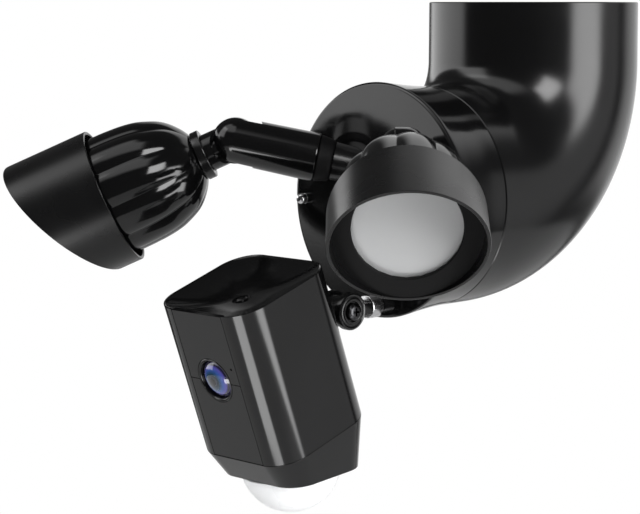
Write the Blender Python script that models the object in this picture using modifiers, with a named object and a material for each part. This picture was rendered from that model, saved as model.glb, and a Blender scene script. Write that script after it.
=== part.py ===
"""Floodlight security camera on an elbow housing.

Two hooded lamps on jointed arms and a tilting camera hang from the round
face of a ninety degree elbow.  The origin is the centre of the mounting
face at the top of the elbow, +Z points up into the wall box and the round
face looks along -Y.  Sizes are in metres.
"""
import math

import bmesh
import bpy
from mathutils import Matrix, Vector

OBJECT_NAME = "floodlight_camera"
GAP = 0.0003

# elbow and cover
TUBE_RADIUS = 0.0589
TUBE_WALL = 0.0026
DROP = 0.0332
BEND_RADIUS = 0.0703
AXIS_Z = -(DROP + BEND_RADIUS)
SEAM_Y = -0.0874
FACE_Y = -0.1237
RIM_RADIUS = 0.0620
FACE_THICKNESS = 0.0030

# lamp arms
ROOT = Vector((0.0168, FACE_Y, -0.0860))
PIVOT = Vector((0.0617, -0.1675, -0.0728))
ARM_RADIUS = 0.0124
ARM_START = 0.0200
SPLIT = 0.0046

# lamps, measured from the tilt pivot along the lamp's axis
LAMP_AXES = {-1: Vector((-0.653, -0.635, -0.412)), 1: Vector((0.667, -0.651, -0.362))}
HOOD_ROLL = {-1: math.radians(-23.1), 1: math.radians(2.7)}
NECK_NUT_AT = 0.0183
BELL_AT = 0.0216
BELL_END = 0.0807
HOOD_RADIUS = 0.03705
HOOD_WALL = 0.0017
HOOD_AT = 0.0712
HOOD_MEAN = 0.0292
HOOD_SLANT = 0.0179
BEZEL_FRONT = 0.0828
BEZEL_HOLE = 0.0257
BEZEL_BACK = 0.0810

# camera unit, its body measured from the middle of its top edge
CAMERA_PIVOT = Vector((0.0, -0.1493, -0.1590))
CAMERA_TILT = math.radians(19.8)
BODY_TOP = Vector((0.0, -0.0580, 0.0415))
BODY_WIDTH = 0.0686
BODY_DEPTH = 0.0653
BODY_HEIGHT = 0.0818
BODY_CORNER = 0.0163
BODY_WALL = 0.0022
PANEL_WIDTH = 0.0366
SKIRT_DROP = 0.0222
SKIRT_SLOPE = 0.24
DOME_RADIUS = 0.0259
DOME_SPOT = Vector((0.0, -0.0013, -0.0993))
DOME_NECK = 0.0232
LENS_Z = -0.0370

FINISHES = {
    "gloss_black": ((0.012, 0.012, 0.013), 0.12, 0.0),
    "satin_black": ((0.016, 0.016, 0.017), 0.32, 0.0),
    "matt_black": ((0.02, 0.02, 0.021), 0.6, 0.0),
    "steel": ((0.55, 0.55, 0.56), 0.28, 1.0),
    "dark_steel": ((0.10, 0.10, 0.105), 0.35, 1.0),
    "rubber": ((0.018, 0.018, 0.018), 0.85, 0.0),
    "frosted": ((0.72, 0.73, 0.74), 0.45, 0.0),
    "milky": ((0.86, 0.87, 0.88), 0.3, 0.0),
    "board": ((0.02, 0.10, 0.045), 0.5, 0.0),
    "white_metal": ((0.78, 0.78, 0.76), 0.35, 0.0),
    "lens_glass": ((0.03, 0.04, 0.12), 0.03, 0.0),
    "nylon": ((0.75, 0.74, 0.70), 0.5, 0.0),
}


def clear_scene():
    """Remove every object that the scene starts with."""
    for item in list(bpy.data.objects):
        bpy.data.objects.remove(item, do_unlink=True)


def make_collections():
    """Return the collection of the parts and that of the cutters."""
    parts = bpy.data.collections.new(OBJECT_NAME)
    cutters = bpy.data.collections.new("cutters")
    for group in (parts, cutters):
        bpy.context.scene.collection.children.link(group)
    return parts, cutters


def finish_material(name, finish):
    """Return a new Principled material for one sub-part."""
    colour, roughness, metallic = FINISHES[finish]
    material = bpy.data.materials.new(f"{name}_{finish}")
    material.use_nodes = True
    shader = material.node_tree.nodes["Principled BSDF"]
    shader.inputs["Base Color"].default_value = (*colour, 1.0)
    shader.inputs["Roughness"].default_value = roughness
    shader.inputs["Metallic"].default_value = metallic
    return material


def add_mesh(name, mesh, place, finish, parent=None):
    """Link a mesh as a sub-part at a placement matrix, under its parent."""
    item = bpy.data.objects.new(name, mesh)
    PARTS.objects.link(item)
    item.matrix_world = place
    if parent is not None:
        item.parent = parent
        item.matrix_parent_inverse = parent.matrix_world.inverted()
    item.data.materials.append(finish_material(name, finish))
    return item


def add_pivot(name, place):
    """Add an empty on a joint's axis."""
    pivot = bpy.data.objects.new(name, None)
    pivot.empty_display_size = 0.01
    PARTS.objects.link(pivot)
    pivot.matrix_world = place
    bpy.context.view_layer.update()
    return pivot


def mesh_from(name, work):
    """Close a bmesh, turn its faces outward and give its mesh."""
    bmesh.ops.recalc_face_normals(work, faces=work.faces[:])
    mesh = bpy.data.meshes.new(name)
    work.to_mesh(mesh)
    work.free()
    return mesh


def smooth(item, angle=32):
    """Shade an object smooth with sharp edges past an angle in degrees."""
    item.data.shade_smooth()
    item.data.set_sharp_from_angle(angle=math.radians(angle))
    return item


def frame_matrix(origin, axis, side):
    """Return a placement with local Z on an axis and local X near a side."""
    z_axis = Vector(axis).normalized()
    x_axis = Vector(side) - z_axis * Vector(side).dot(z_axis)
    x_axis.normalize()
    y_axis = z_axis.cross(x_axis)
    turn = Matrix((x_axis, y_axis, z_axis)).transposed().to_4x4()
    return Matrix.Translation(origin) @ turn


def turned(name, profile, place, finish, steps=32, closed=False, parent=None):
    """Turn a profile of (radius, height) points about local Z."""
    work = bmesh.new()
    points = [work.verts.new((radius, 0.0, height)) for radius, height in profile]
    for first, second in zip(points, points[1:]):
        work.edges.new((first, second))
    if closed:
        work.edges.new((points[-1], points[0]))
    mesh = bpy.data.meshes.new(name)
    work.to_mesh(mesh)
    work.free()
    item = add_mesh(name, mesh, place, finish, parent)
    screw = item.modifiers.new("turn", "SCREW")
    screw.steps = steps
    screw.render_steps = steps
    screw.use_merge_vertices = True
    screw.merge_threshold = 0.00005
    screw.use_smooth_shade = True
    return item


def disc(name, radius, low, high, place, finish, steps=32, parent=None):
    """Turn a plain disc or rod between two heights."""
    profile = [(0.0, high), (radius, high), (radius, low), (0.0, low)]
    return turned(name, profile, place, finish, steps, parent=parent)


def ring(name, outer, inner, low, high, place, finish, steps=40, parent=None):
    """Turn a square-cut ring between two heights."""
    profile = [(outer, high), (outer, low), (inner, low), (inner, high)]
    return turned(name, profile, place, finish, steps, closed=True, parent=parent)


def box(name, size, centre, place, finish, parent=None, bevel=0.0):
    """Add a box of a size about a centre in the placement's own frame."""
    work = bmesh.new()
    bmesh.ops.create_cube(work, size=1.0)
    bmesh.ops.scale(work, vec=size, verts=work.verts[:])
    bmesh.ops.translate(work, vec=centre, verts=work.verts[:])
    item = add_mesh(name, mesh_from(name, work), place, finish, parent)
    if bevel > 0:
        ease = item.modifiers.new("ease", "BEVEL")
        ease.width = bevel
        ease.segments = 2
    return item


def cutter(name, mesh, place):
    """Keep a mesh as a hidden cutter."""
    item = bpy.data.objects.new(name, mesh)
    CUTTERS.objects.link(item)
    item.matrix_world = place
    item.hide_render = True
    item.display_type = "WIRE"
    return item


def rod_mesh(name, radius, low, high, axis="Z", centre=(0, 0, 0), steps=22):
    """Return a rod's mesh along one local axis."""
    work = bmesh.new()
    bmesh.ops.create_cone(
        work, cap_ends=True, segments=steps, radius1=radius, radius2=radius, depth=high - low)
    bmesh.ops.translate(work, vec=(0, 0, (high + low) / 2), verts=work.verts[:])
    if axis == "X":
        bmesh.ops.rotate(work, matrix=Matrix.Rotation(math.pi / 2, 3, "Y"), verts=work.verts[:])
    if axis == "Y":
        bmesh.ops.rotate(work, matrix=Matrix.Rotation(-math.pi / 2, 3, "X"), verts=work.verts[:])
    bmesh.ops.translate(work, vec=centre, verts=work.verts[:])
    return mesh_from(name, work)


def block_mesh(name, size, centre):
    """Return a box's mesh."""
    work = bmesh.new()
    bmesh.ops.create_cube(work, size=1.0)
    bmesh.ops.scale(work, vec=size, verts=work.verts[:])
    bmesh.ops.translate(work, vec=centre, verts=work.verts[:])
    return mesh_from(name, work)


def ball_mesh(name, radius, around, down):
    """Return a ball's mesh."""
    work = bmesh.new()
    bmesh.ops.create_uvsphere(work, u_segments=around, v_segments=down, radius=radius)
    return mesh_from(name, work)


def join_shapes(item, kind, *tools):
    """Cut or join an object with tools by Booleans."""
    for tool in tools:
        change = item.modifiers.new(tool.name, "BOOLEAN")
        change.operation = kind
        change.solver = "EXACT"
        change.object = tool
    return item


def rounded_outline(width, depth, corner, arc=4, shift=0.0):
    """Return the points of a rectangle with round corners."""
    points = []
    corners = ((1, -1, -90), (1, 1, 0), (-1, 1, 90), (-1, -1, 180))
    for side_x, side_y, start in corners:
        centre_x = side_x * (width / 2 - corner)
        centre_y = side_y * (depth / 2 - corner) + shift
        for step in range(arc + 1):
            angle = math.radians(start + 90 * step / arc)
            points.append((centre_x + corner * math.cos(angle), centre_y + corner * math.sin(angle)))
    return points


def loft_mesh(name, sections):
    """Bridge outlines of equal count, given from top to bottom, and cap both ends."""
    work = bmesh.new()
    loops = []
    for outline in sections:
        loops.append([work.verts.new(point) for point in outline])
    count = len(loops[0])
    for upper, lower in zip(loops, loops[1:]):
        for index in range(count):
            after = (index + 1) % count
            work.faces.new((upper[index], lower[index], lower[after], upper[after]))
    work.faces.new(loops[0])
    work.faces.new(list(reversed(loops[-1])))
    return mesh_from(name, work)


def column_mesh(name, outline, low, high):
    """Return a straight column over one outline."""
    top = [(x, y, high) for x, y in outline]
    bottom = [(x, y, low) for x, y in outline]
    return loft_mesh(name, (top, bottom))


# ---------------------------------------------------------------- elbow

def bent_tube_mesh(name, outer, inner, top, seam, steps=8, segments=36):
    """Return the elbow: a ring drawn down, spun a quarter turn and drawn forward."""
    work = bmesh.new()
    rims = []
    for radius in (outer, inner):
        made = bmesh.ops.create_circle(work, cap_ends=False, radius=radius, segments=segments)
        rims += list({edge for vert in made["verts"] for edge in vert.link_edges})
    flat = bmesh.ops.bridge_loops(work, edges=rims)["faces"]
    bmesh.ops.translate(work, vec=(0, 0, top), verts=work.verts[:])

    def extrude(faces, inside=True):
        made = bmesh.ops.extrude_face_region(work, geom=faces)["geom"]
        if inside:
            bmesh.ops.delete(work, geom=faces, context="FACES_ONLY")
        return made

    def sort(made):
        moved = [part for part in made if isinstance(part, bmesh.types.BMVert)]
        return moved, [part for part in made if isinstance(part, bmesh.types.BMFace)]

    moved, flat = sort(extrude(flat, inside=False))
    bmesh.ops.translate(work, vec=(0, 0, -DROP - top), verts=moved)
    turn = Matrix.Rotation(-math.pi / 2 / steps, 3, "X")
    for step in range(steps):
        moved, flat = sort(extrude(flat))
        bmesh.ops.rotate(work, cent=(0, -BEND_RADIUS, -DROP), verts=moved, matrix=turn)
    moved, flat = sort(extrude(flat))
    bmesh.ops.translate(work, vec=(0, seam + BEND_RADIUS, 0), verts=moved)
    return mesh_from(name, work)


def build_elbow():
    """Build the elbow housing, what fixes it and what it holds."""
    level = Matrix.Identity(4)
    inner = TUBE_RADIUS - TUBE_WALL
    elbow = add_mesh(
        "elbow_housing", bent_tube_mesh("elbow_housing", TUBE_RADIUS, inner, 0.0, SEAM_Y),
        level, "satin_black")
    lugs = []
    for side, label in ((-1, "left"), (1, "right")):
        tab = block_mesh("lug", (0.0140, 0.0120, 0.0060), (side * 0.0500, 0, -0.0095))
        lug = cutter(f"lug_{label}", tab, level)
        drill = rod_mesh("hole", 0.0023, -0.0150, -0.0050, centre=(side * 0.0470, 0, 0), steps=12)
        hole = cutter(f"lug_hole_{label}", drill, level)
        lugs.append((lug, hole))
    join_shapes(elbow, "UNION", *(lug for lug, hole in lugs))
    join_shapes(elbow, "DIFFERENCE", *(hole for lug, hole in lugs))
    smooth(elbow)

    bracket = disc("mounting_bracket", 0.0505, -0.0025, 0.0, level, "steel", 32)
    for side, label in ((-1, "left"), (1, "right")):
        drill = rod_mesh("slot", 0.0024, -0.01, 0.01, centre=(0, side * 0.0430, 0), steps=12)
        slot = cutter(f"box_hole_{label}", drill, level)
        drill = rod_mesh("tap", 0.0019, -0.01, 0.01, centre=(side * 0.0470, 0, 0), steps=12)
        tap = cutter(f"tap_{label}", drill, level)
        join_shapes(bracket, "DIFFERENCE", slot, tap)
    drill = rod_mesh("wire_hole", 0.0090, -0.01, 0.01, centre=(0, 0.0230, 0), steps=20)
    wire_hole = cutter("wire_hole", drill, level)
    join_shapes(bracket, "DIFFERENCE", wire_hole)
    ring("bracket_gasket", 0.0558, 0.0512, -0.0040, 0.0, level, "rubber", 32)

    for side, label in ((-1, "front"), (1, "rear")):
        spot = Matrix.Translation((0, side * 0.0430, 0))
        profile = [(0, -0.0003), (0.0020, -0.0003), (0.0020, -0.0028), (0.0040, -0.0028)]
        profile += [(0.0040, -0.0042), (0.0028, -0.0054), (0, -0.0054)]
        turned(f"bracket_screw_{label}", profile, spot, "steel", 14)
    for side, label in ((-1, "left"), (1, "right")):
        spot = Matrix.Translation((side * 0.0470, 0, 0))
        profile = [(0, -0.0003), (0.0016, -0.0003), (0.0016, -0.0128), (0.0034, -0.0128)]
        profile += [(0.0034, -0.0142), (0.0022, -0.0152), (0, -0.0152)]
        turned(f"elbow_screw_{label}", profile, spot, "steel", 14)

    box("power_supply", (0.060, 0.032, 0.042), (0, -0.030, -0.072), level, "matt_black", bevel=0.0020)
    box("terminal_block", (0.034, 0.014, 0.012), (0, 0.0150, -0.0360), level, "nylon", bevel=0.0010)
    lead = bpy.data.curves.new("supply_lead", "CURVE")
    lead.dimensions = "3D"
    lead.bevel_depth = 0.0028
    lead.bevel_resolution = 2
    lead.use_fill_caps = True
    run = lead.splines.new("POLY")
    route = [(0.0, -0.0470, -0.0800), (0.0, -0.0600, -0.0830), (0.0, -0.0740, -0.0890)]
    route += [(0.0, -0.0880, -0.0960), (0.0, -0.1020, -0.1010), (0.0, -0.1160, -0.1030)]
    run.points.add(len(route) - 1)
    for point, spot in zip(run.points, route):
        point.co = (*spot, 1.0)
    item = bpy.data.objects.new("supply_lead", lead)
    PARTS.objects.link(item)
    lead.materials.append(finish_material("supply_lead", "rubber"))


def build_cover():
    """Build the front cover with its seal and its screws."""
    facing = frame_matrix((0, 0, AXIS_Z), (0, -1, 0), (1, 0, 0))
    back = -SEAM_Y + GAP
    front = -FACE_Y
    profile = [(0, front), (RIM_RADIUS - 0.0015, front), (RIM_RADIUS - 0.0004, front - 0.0004)]
    profile += [(RIM_RADIUS, front - 0.0015), (0.0608, front - 0.0120), (0.0596, front - 0.0240)]
    profile += [(TUBE_RADIUS, back), (TUBE_RADIUS - TUBE_WALL, back)]
    profile += [(0.0582, front - 0.0120), (0.0585, front - FACE_THICKNESS)]
    profile.append((0, front - FACE_THICKNESS))
    cover = turned("face_cover", profile, facing, "gloss_black", 44)
    ring("face_seal", 0.0560, 0.0530, back - 0.0060, back + 0.0060, facing, "rubber", 32)
    for side, label in ((-1, "left"), (1, "right")):
        spot = Matrix.Translation((side * 0.0545, 0, AXIS_Z - 0.0024)) @ facing.to_3x3().to_4x4()
        drill = rod_mesh("hole", 0.0019, front - 0.01, front + 0.01, steps=12)
        hole = cutter(f"cover_hole_{label}", drill, spot)
        join_shapes(cover, "DIFFERENCE", hole)
        tall = front + GAP
        screw = [(0, tall + 0.0047), (0.0014, tall + 0.0047), (0.0029, tall + 0.0036)]
        screw += [(0.0029, tall), (0.0016, tall), (0.0016, front - 0.0090), (0, front - 0.0090)]
        turned(f"cover_screw_{label}", screw, spot, "steel", 16)
        wire = frame_matrix((side * ROOT.x, FACE_Y, ROOT.z), arm_line(side), (side, 0, 0))
        drill = rod_mesh("passage", 0.0040, -0.012, 0.012, steps=12)
        passage = cutter(f"wire_passage_{label}", drill, wire)
        join_shapes(cover, "DIFFERENCE", passage)
    foot = Matrix.Translation((0, 0, CAMERA_PIVOT.z)) @ facing.to_3x3().to_4x4()
    drill = rod_mesh("passage", 0.0020, front - 0.01, front + 0.01, steps=12)
    passage = cutter("foot_passage", drill, foot)
    join_shapes(cover, "DIFFERENCE", passage)


# ---------------------------------------------------------------- lamps

def arm_line(side):
    """Return the arm's direction from its root to its tilt pivot."""
    return Vector((side * PIVOT.x, PIVOT.y, PIVOT.z)) - Vector((side * ROOT.x, ROOT.y, ROOT.z))


def tilt_line(side):
    """Return the tilt axis, pointing to the lamp's inner side."""
    across = Vector((-side * 0.698, -0.716, 0.0))
    return across.normalized()


def build_arm(side, label):
    """Build one arm from its socket on the cover to its tilt screw."""
    root = Vector((side * ROOT.x, ROOT.y, ROOT.z))
    line = arm_line(side)
    length = line.length
    place = frame_matrix(root, line, tilt_line(side))
    swivel = add_pivot(f"arm_swivel_{label}", place)

    socket = turned(
        f"arm_socket_{label}",
        [(0.0102, 0.0117), (0.0095, -0.0120), (0.0034, -0.0120), (0.0034, 0.0117)],
        place, "matt_black", 24, closed=True)
    wall = cutter(f"face_plane_{label}", block_mesh("plane", (0.08, 0.04, 0.08), (0, 0.02, 0)),
                  Matrix.Translation((root.x, FACE_Y - GAP, root.z)))
    join_shapes(socket, "DIFFERENCE", wall)
    collar = [(0.0116, ARM_START - GAP), (0.0104, 0.0120), (0.0052, 0.0120)]
    collar.append((0.0052, ARM_START - GAP))
    turned(f"arm_locknut_{label}", collar, place, "matt_black", 24, closed=True)

    work = bmesh.new()
    bmesh.ops.create_cone(work, cap_ends=True, segments=32, radius1=0.0130, radius2=ARM_RADIUS,
                          depth=length - ARM_START)
    bmesh.ops.translate(work, vec=(0, 0, (length + ARM_START) / 2), verts=work.verts[:])
    arm = add_mesh(f"arm_{label}", mesh_from("arm", work), place, "gloss_black", swivel)
    dome = bmesh.new()
    bmesh.ops.create_uvsphere(dome, u_segments=22, v_segments=10, radius=ARM_RADIUS)
    bmesh.ops.translate(dome, vec=(0, 0, length), verts=dome.verts[:])
    end = cutter(f"arm_dome_{label}", mesh_from("dome", dome), place)
    rod = rod_mesh("stem", 0.0030, 0.0080, ARM_START + 0.004, steps=20)
    stem = cutter(f"arm_stem_{label}", rod, place)
    join_shapes(arm, "UNION", end, stem)
    half = rod_mesh("lap", 0.0170, -0.03, SPLIT, "X", (0, 0, length))
    lap = cutter(f"arm_lap_{label}", half, place)
    drill = rod_mesh("hole", 0.0027, -0.03, 0.0092, "X", (0, 0, length), 16)
    hole = cutter(f"arm_hole_{label}", drill, place)
    join_shapes(arm, "DIFFERENCE", lap, hole)
    smooth(arm)

    pivot = Vector((side * PIVOT.x, PIVOT.y, PIVOT.z))
    across = frame_matrix(pivot, -tilt_line(side), (0, 0, 1))
    screw = [(0, 0.0228), (0.0018, 0.0228), (0.0024, 0.0222), (0.0024, 0.0160), (0.0052, 0.0158)]
    screw += [(0.0052, 0.0118), (0.0023, 0.0115), (0.0023, -0.0088), (0, -0.0088)]
    turned(f"tilt_screw_{label}", screw, across, "dark_steel", 16, parent=swivel)
    return swivel


def lamp_frame(side):
    """Return the lamp's frame at its pivot, its X on the tilt axis."""
    pivot = Vector((side * PIVOT.x, PIVOT.y, PIVOT.z))
    return frame_matrix(pivot, LAMP_AXES[side], tilt_line(side))


def build_lamp(side, label, swivel):
    """Build one lamp from its knuckle to its hood."""
    place = lamp_frame(side)
    tilt = add_pivot(f"lamp_tilt_{label}", place)
    tilt.parent = swivel
    tilt.matrix_parent_inverse = swivel.matrix_world.inverted()

    ear = SPLIT - GAP
    knuckle = add_mesh(
        f"lamp_knuckle_{label}", rod_mesh("ear", 0.0122, -0.0110, ear + 0.0010, "X", steps=26),
        place, "satin_black", tilt)
    neck = cutter(f"neck_{label}", rod_mesh("neck", 0.0100, 0.0007, 0.0180, steps=22), place)
    spout = cutter(f"spout_{label}", rod_mesh("spout", 0.0070, 0.0100, 0.0290, steps=20), place)
    join_shapes(knuckle, "UNION", neck, spout)
    relief = cutter(f"ear_relief_{label}", rod_mesh("relief", 0.0132, ear, 0.03, "X", steps=26), place)
    hole = cutter(f"ear_hole_{label}", rod_mesh("hole", 0.0026, -0.03, 0.03, "X", steps=16), place)
    join_shapes(knuckle, "DIFFERENCE", relief, hole)
    smooth(knuckle)

    nut = [(0.0133, 0.0209), (0.0133, 0.0171), (0.0128, 0.0166), (0.0103, 0.0166)]
    nut += [(0.0103, NECK_NUT_AT), (0.0073, NECK_NUT_AT), (0.0073, 0.0213), (0.0127, 0.0213)]
    turned(f"neck_nut_{label}", nut, place, "matt_black", 24, closed=True, parent=tilt)

    bell = [(0.0328, BELL_END), (0.0329, 0.0700), (0.0323, 0.0560), (0.0309, 0.0460), (0.0282, 0.0385)]
    bell += [(0.0240, 0.0310), (0.0180, 0.0245), (0.0128, BELL_AT), (0.0073, BELL_AT)]
    bell += [(0.0073, 0.0300), (0.0240, 0.0430), (0.0290, 0.0600), (0.0300, BELL_END)]
    turned(f"lamp_bell_{label}", bell, place, "gloss_black", 32, closed=True, parent=tilt)

    disc(f"led_board_{label}", 0.0275, 0.0596, 0.0614, place, "board", 24, parent=tilt)
    cone = [(0.0294, 0.0774), (0.0294, 0.0766), (0.0180, 0.0618), (0.0150, 0.0618), (0.0281, 0.0774)]
    turned(f"reflector_{label}", cone, place, "white_metal", 24, closed=True, parent=tilt)
    lens = [(0, 0.0796), (0.0294, 0.0796), (0.0294, 0.0777), (0, 0.0777)]
    turned(f"lamp_lens_{label}", lens, place, "frosted", 32, parent=tilt)
    top = BEZEL_BACK - GAP
    ring(f"lens_seal_{label}", 0.0295, 0.0262, 0.0799, top, place, "rubber", 24, parent=tilt)

    axis = LAMP_AXES[side].normalized()
    up = (Vector((0, 0, 1)) - axis * axis.z).normalized()
    rolled = up * math.cos(HOOD_ROLL[side]) + axis.cross(up) * math.sin(HOOD_ROLL[side])
    spot = frame_matrix(place.translation, axis, rolled)
    far = HOOD_AT + HOOD_MEAN + HOOD_SLANT + 0.004
    inside = HOOD_RADIUS - HOOD_WALL
    shade = [(HOOD_RADIUS, far), (HOOD_RADIUS, HOOD_AT), (inside, HOOD_AT), (inside, BEZEL_BACK)]
    shade += [(BEZEL_HOLE, BEZEL_BACK), (BEZEL_HOLE, BEZEL_FRONT), (inside, BEZEL_FRONT), (inside, far)]
    hood = turned(f"lamp_hood_{label}", shade, spot, "satin_black", 40, closed=True, parent=tilt)
    lean = math.atan2(HOOD_SLANT, HOOD_RADIUS)
    slab = block_mesh("slab", (0.14, 0.12, 0.06), (0, 0, 0.03))
    centre = Matrix.Translation((0, 0, HOOD_AT + HOOD_MEAN)) @ Matrix.Rotation(-lean, 4, "Y")
    slope = cutter(f"hood_cut_{label}", slab, spot @ centre)
    join_shapes(hood, "DIFFERENCE", slope)


# ---------------------------------------------------------------- camera

def build_camera_mount(place):
    """Build the foot on the cover, the swivelling arm and the knuckle."""
    facing = frame_matrix((0, FACE_Y, CAMERA_PIVOT.z), (0, -1, 0), (1, 0, 0))
    foot = [(0.0058, 0.0080), (0.0062, 0.0072), (0.0062, GAP), (0.0019, GAP), (0.0019, 0.0080)]
    turned("camera_foot", foot, facing, "satin_black", 24, closed=True)

    swivel = add_pivot("camera_swivel", facing)
    reach = FACE_Y - CAMERA_PIVOT.y
    arm = add_mesh("camera_arm", rod_mesh("arm", 0.0098, -0.0090, 0.0090, "X", (0, 0, reach)),
                   facing, "satin_black", swivel)
    neck = cutter("arm_neck", block_mesh("neck", (0.0178, 0.0064, 0.0080), (0, 0, 0.0142)), facing)
    pin = cutter("arm_pin", rod_mesh("pin", 0.0016, -0.0060, 0.0110, steps=20), facing)
    slot = cutter("arm_slot", block_mesh("slot", (0.0096, 0.04, 0.0246), (0, 0, 0.0287)), facing)
    drill = rod_mesh("hole", 0.0024, -0.03, 0.03, "X", (0, 0, reach), 16)
    hole = cutter("arm_hole", drill, facing)
    join_shapes(arm, "UNION", neck)
    join_shapes(arm, "DIFFERENCE", slot, hole)
    join_shapes(arm, "UNION", pin)
    smooth(arm)

    across = frame_matrix(CAMERA_PIVOT, (1, 0, 0), (0, 0, 1))
    screw = [(0, 0.0115), (0.0030, 0.0115), (0.0046, 0.0106), (0.0046, 0.0093), (0.0021, 0.0093)]
    screw += [(0.0021, -0.0120), (0, -0.0120)]
    turned("knuckle_screw", screw, across, "dark_steel", 20, parent=swivel)
    ring("knuckle_nut", 0.0046, 0.0028, -0.0128, -0.0093, across, "dark_steel", 6, parent=swivel)

    tilt = add_pivot("camera_tilt", place)
    tilt.parent = swivel
    tilt.matrix_parent_inverse = swivel.matrix_world.inverted()
    back = BODY_TOP.y + BODY_DEPTH / 2 + GAP
    eye = rod_mesh("eye", 0.0085, -0.0045, 0.0045, "X")
    stem = add_mesh("camera_stem", eye, place, "satin_black", tilt)
    rod = cutter("stem_rod", rod_mesh("rod", 0.0044, back + 0.001, 0.0, "Y", steps=14), place)
    pad = cutter("stem_pad", rod_mesh("pad", 0.0120, back, back + 0.0035, "Y", steps=20), place)
    bore = cutter("stem_bore", rod_mesh("bore", 0.0024, -0.03, 0.03, "X", steps=14), place)
    drill = rod_mesh("tap", 0.0017, back - 0.002, back + 0.0100, "Y", steps=10)
    tap = cutter("stem_tap", drill, place)
    join_shapes(stem, "UNION", rod, pad)
    join_shapes(stem, "DIFFERENCE", bore, tap)
    smooth(stem)
    return tilt


def build_body(place, tilt):
    """Build the camera body with what it holds."""
    body = place @ Matrix.Translation(BODY_TOP)
    outline = rounded_outline(BODY_WIDTH, BODY_DEPTH, BODY_CORNER)
    housing = add_mesh("camera_housing", column_mesh("housing", outline, -BODY_HEIGHT, 0.0),
                       body, "satin_black", tilt)
    wide = BODY_WIDTH - 2 * BODY_WALL
    inner = rounded_outline(wide, BODY_DEPTH - 2 * BODY_WALL, BODY_CORNER - BODY_WALL)
    hollow = cutter("housing_hollow", column_mesh("hollow", inner, -0.10, -0.0125), body)
    bowl = bmesh.new()
    bmesh.ops.create_uvsphere(bowl, u_segments=20, v_segments=12, radius=1.0)
    bmesh.ops.scale(bowl, vec=(0.0322, 0.0304, 0.0066), verts=bowl.verts[:])
    dish = cutter("housing_dish", mesh_from("bowl", bowl), body)
    front = -BODY_DEPTH / 2
    channel = block_mesh("slot", (PANEL_WIDTH + 2 * GAP, 0.0060, 0.2), (0, front, 0))
    slot = cutter("panel_slot", channel, body)
    drill = rod_mesh("hole", 0.0019, 0.0, 0.06, "Y", (0, 0, -BODY_TOP.z), 12)
    stem_hole = cutter("stem_hole", drill, body)
    drill = rod_mesh("hole", 0.0034, -0.03, 0.01, centre=(0, -0.0030, 0), steps=24)
    button_hole = cutter("button_hole", drill, body)
    join_shapes(housing, "DIFFERENCE", hollow, dish, slot, stem_hole, button_hole)
    smooth(housing)

    plate = block_mesh(
        "panel", (PANEL_WIDTH, 0.0027, BODY_HEIGHT - 0.0004), (0, front + 0.00135, -BODY_HEIGHT / 2))
    panel = add_mesh("front_panel", plate, body, "gloss_black", tilt)
    drill = rod_mesh("hole", 0.0121, -0.05, 0.0, "Y", (0, 0, LENS_Z), 32)
    lens_hole = cutter("lens_hole", drill, body)
    drill = rod_mesh("hole", 0.0007, -0.05, 0.0, "Y", (0.0150, 0, -0.0290), 12)
    voice_hole = cutter("voice_hole", drill, body)
    join_shapes(panel, "DIFFERENCE", lens_hole, voice_hole)

    lens = body @ Matrix.Translation((0, 0, LENS_Z))
    sight = lens @ Matrix.Rotation(math.pi / 2, 4, "X")
    face = BODY_DEPTH / 2
    barrel = [(0.0105, face + 0.0002), (0.0118, face + 0.0002), (0.0118, 0.0205), (0.0101, 0.0205)]
    barrel.append((0.0101, face - 0.0040))
    turned("lens_barrel", barrel, sight, "gloss_black", 24, closed=True, parent=tilt)
    glass = [(0, face + 0.0016), (0.0050, face + 0.0009), (0.0087, face - 0.0010)]
    glass += [(0.0098, face - 0.0020), (0.0098, face - 0.0042), (0, face - 0.0042)]
    turned("lens_glass", glass, sight, "lens_glass", 24, parent=tilt)
    box("camera_module", (0.0220, 0.0080, 0.0220), (0, -0.0161, LENS_Z), body, "matt_black", tilt)
    box("main_board", (0.0520, 0.0016, 0.0580), (0, -0.0110, -0.0460), body, "board", tilt)
    cone = [(0, 0.0060), (0.0140, 0.0060), (0.0140, 0.0020), (0.0090, -0.0040), (0, -0.0040)]
    spot = body @ Matrix.Translation((0, 0.0090, -0.0700)) @ Matrix.Rotation(math.pi, 4, "X")
    turned("speaker", cone, spot, "matt_black", 24, parent=tilt)

    button = body @ Matrix.Translation((0, -0.0030, 0))
    cap = [(0, -0.0062), (0.0024, -0.0063), (0.0031, -0.0068), (0.0031, -0.0128), (0.0044, -0.0128)]
    cap += [(0.0044, -0.0140), (0, -0.0140)]
    press = add_pivot("button_press", button)
    press.parent = tilt
    press.matrix_parent_inverse = tilt.matrix_world.inverted()
    turned("setup_button", cap, button, "gloss_black", 16, parent=press)
    disc("tact_switch", 0.0026, -0.0166, -0.0152, button, "steel", 14, parent=tilt)
    box("switch_board", (0.0160, 0.0120, 0.0014), (0, -0.0010, -0.0176), body, "board", tilt)

    screw = [(0, 0.0120), (0.0015, 0.0120), (0.0015, 0.0), (0.0032, 0.0)]
    screw += [(0.0032, -0.0016), (0, -0.0022)]
    spot = place @ Matrix.Translation((0, BODY_TOP.y + BODY_DEPTH / 2 - BODY_WALL - GAP, 0))
    turned("stem_screw", screw, spot @ Matrix.Rotation(-math.pi / 2, 4, "X"), "steel", 12, parent=tilt)


def skirt_section(corner, front, sides, back, drop, slope):
    """Return one outline of the skirt, set in from the body, on a perhaps leaning plane."""
    width = BODY_WIDTH - 2 * sides
    depth = BODY_DEPTH - front - back
    shift = (front - back) / 2
    outline = rounded_outline(width, depth, corner, shift=shift)
    return [(x, y, -BODY_HEIGHT - drop - slope * y) for x, y in outline]


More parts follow.
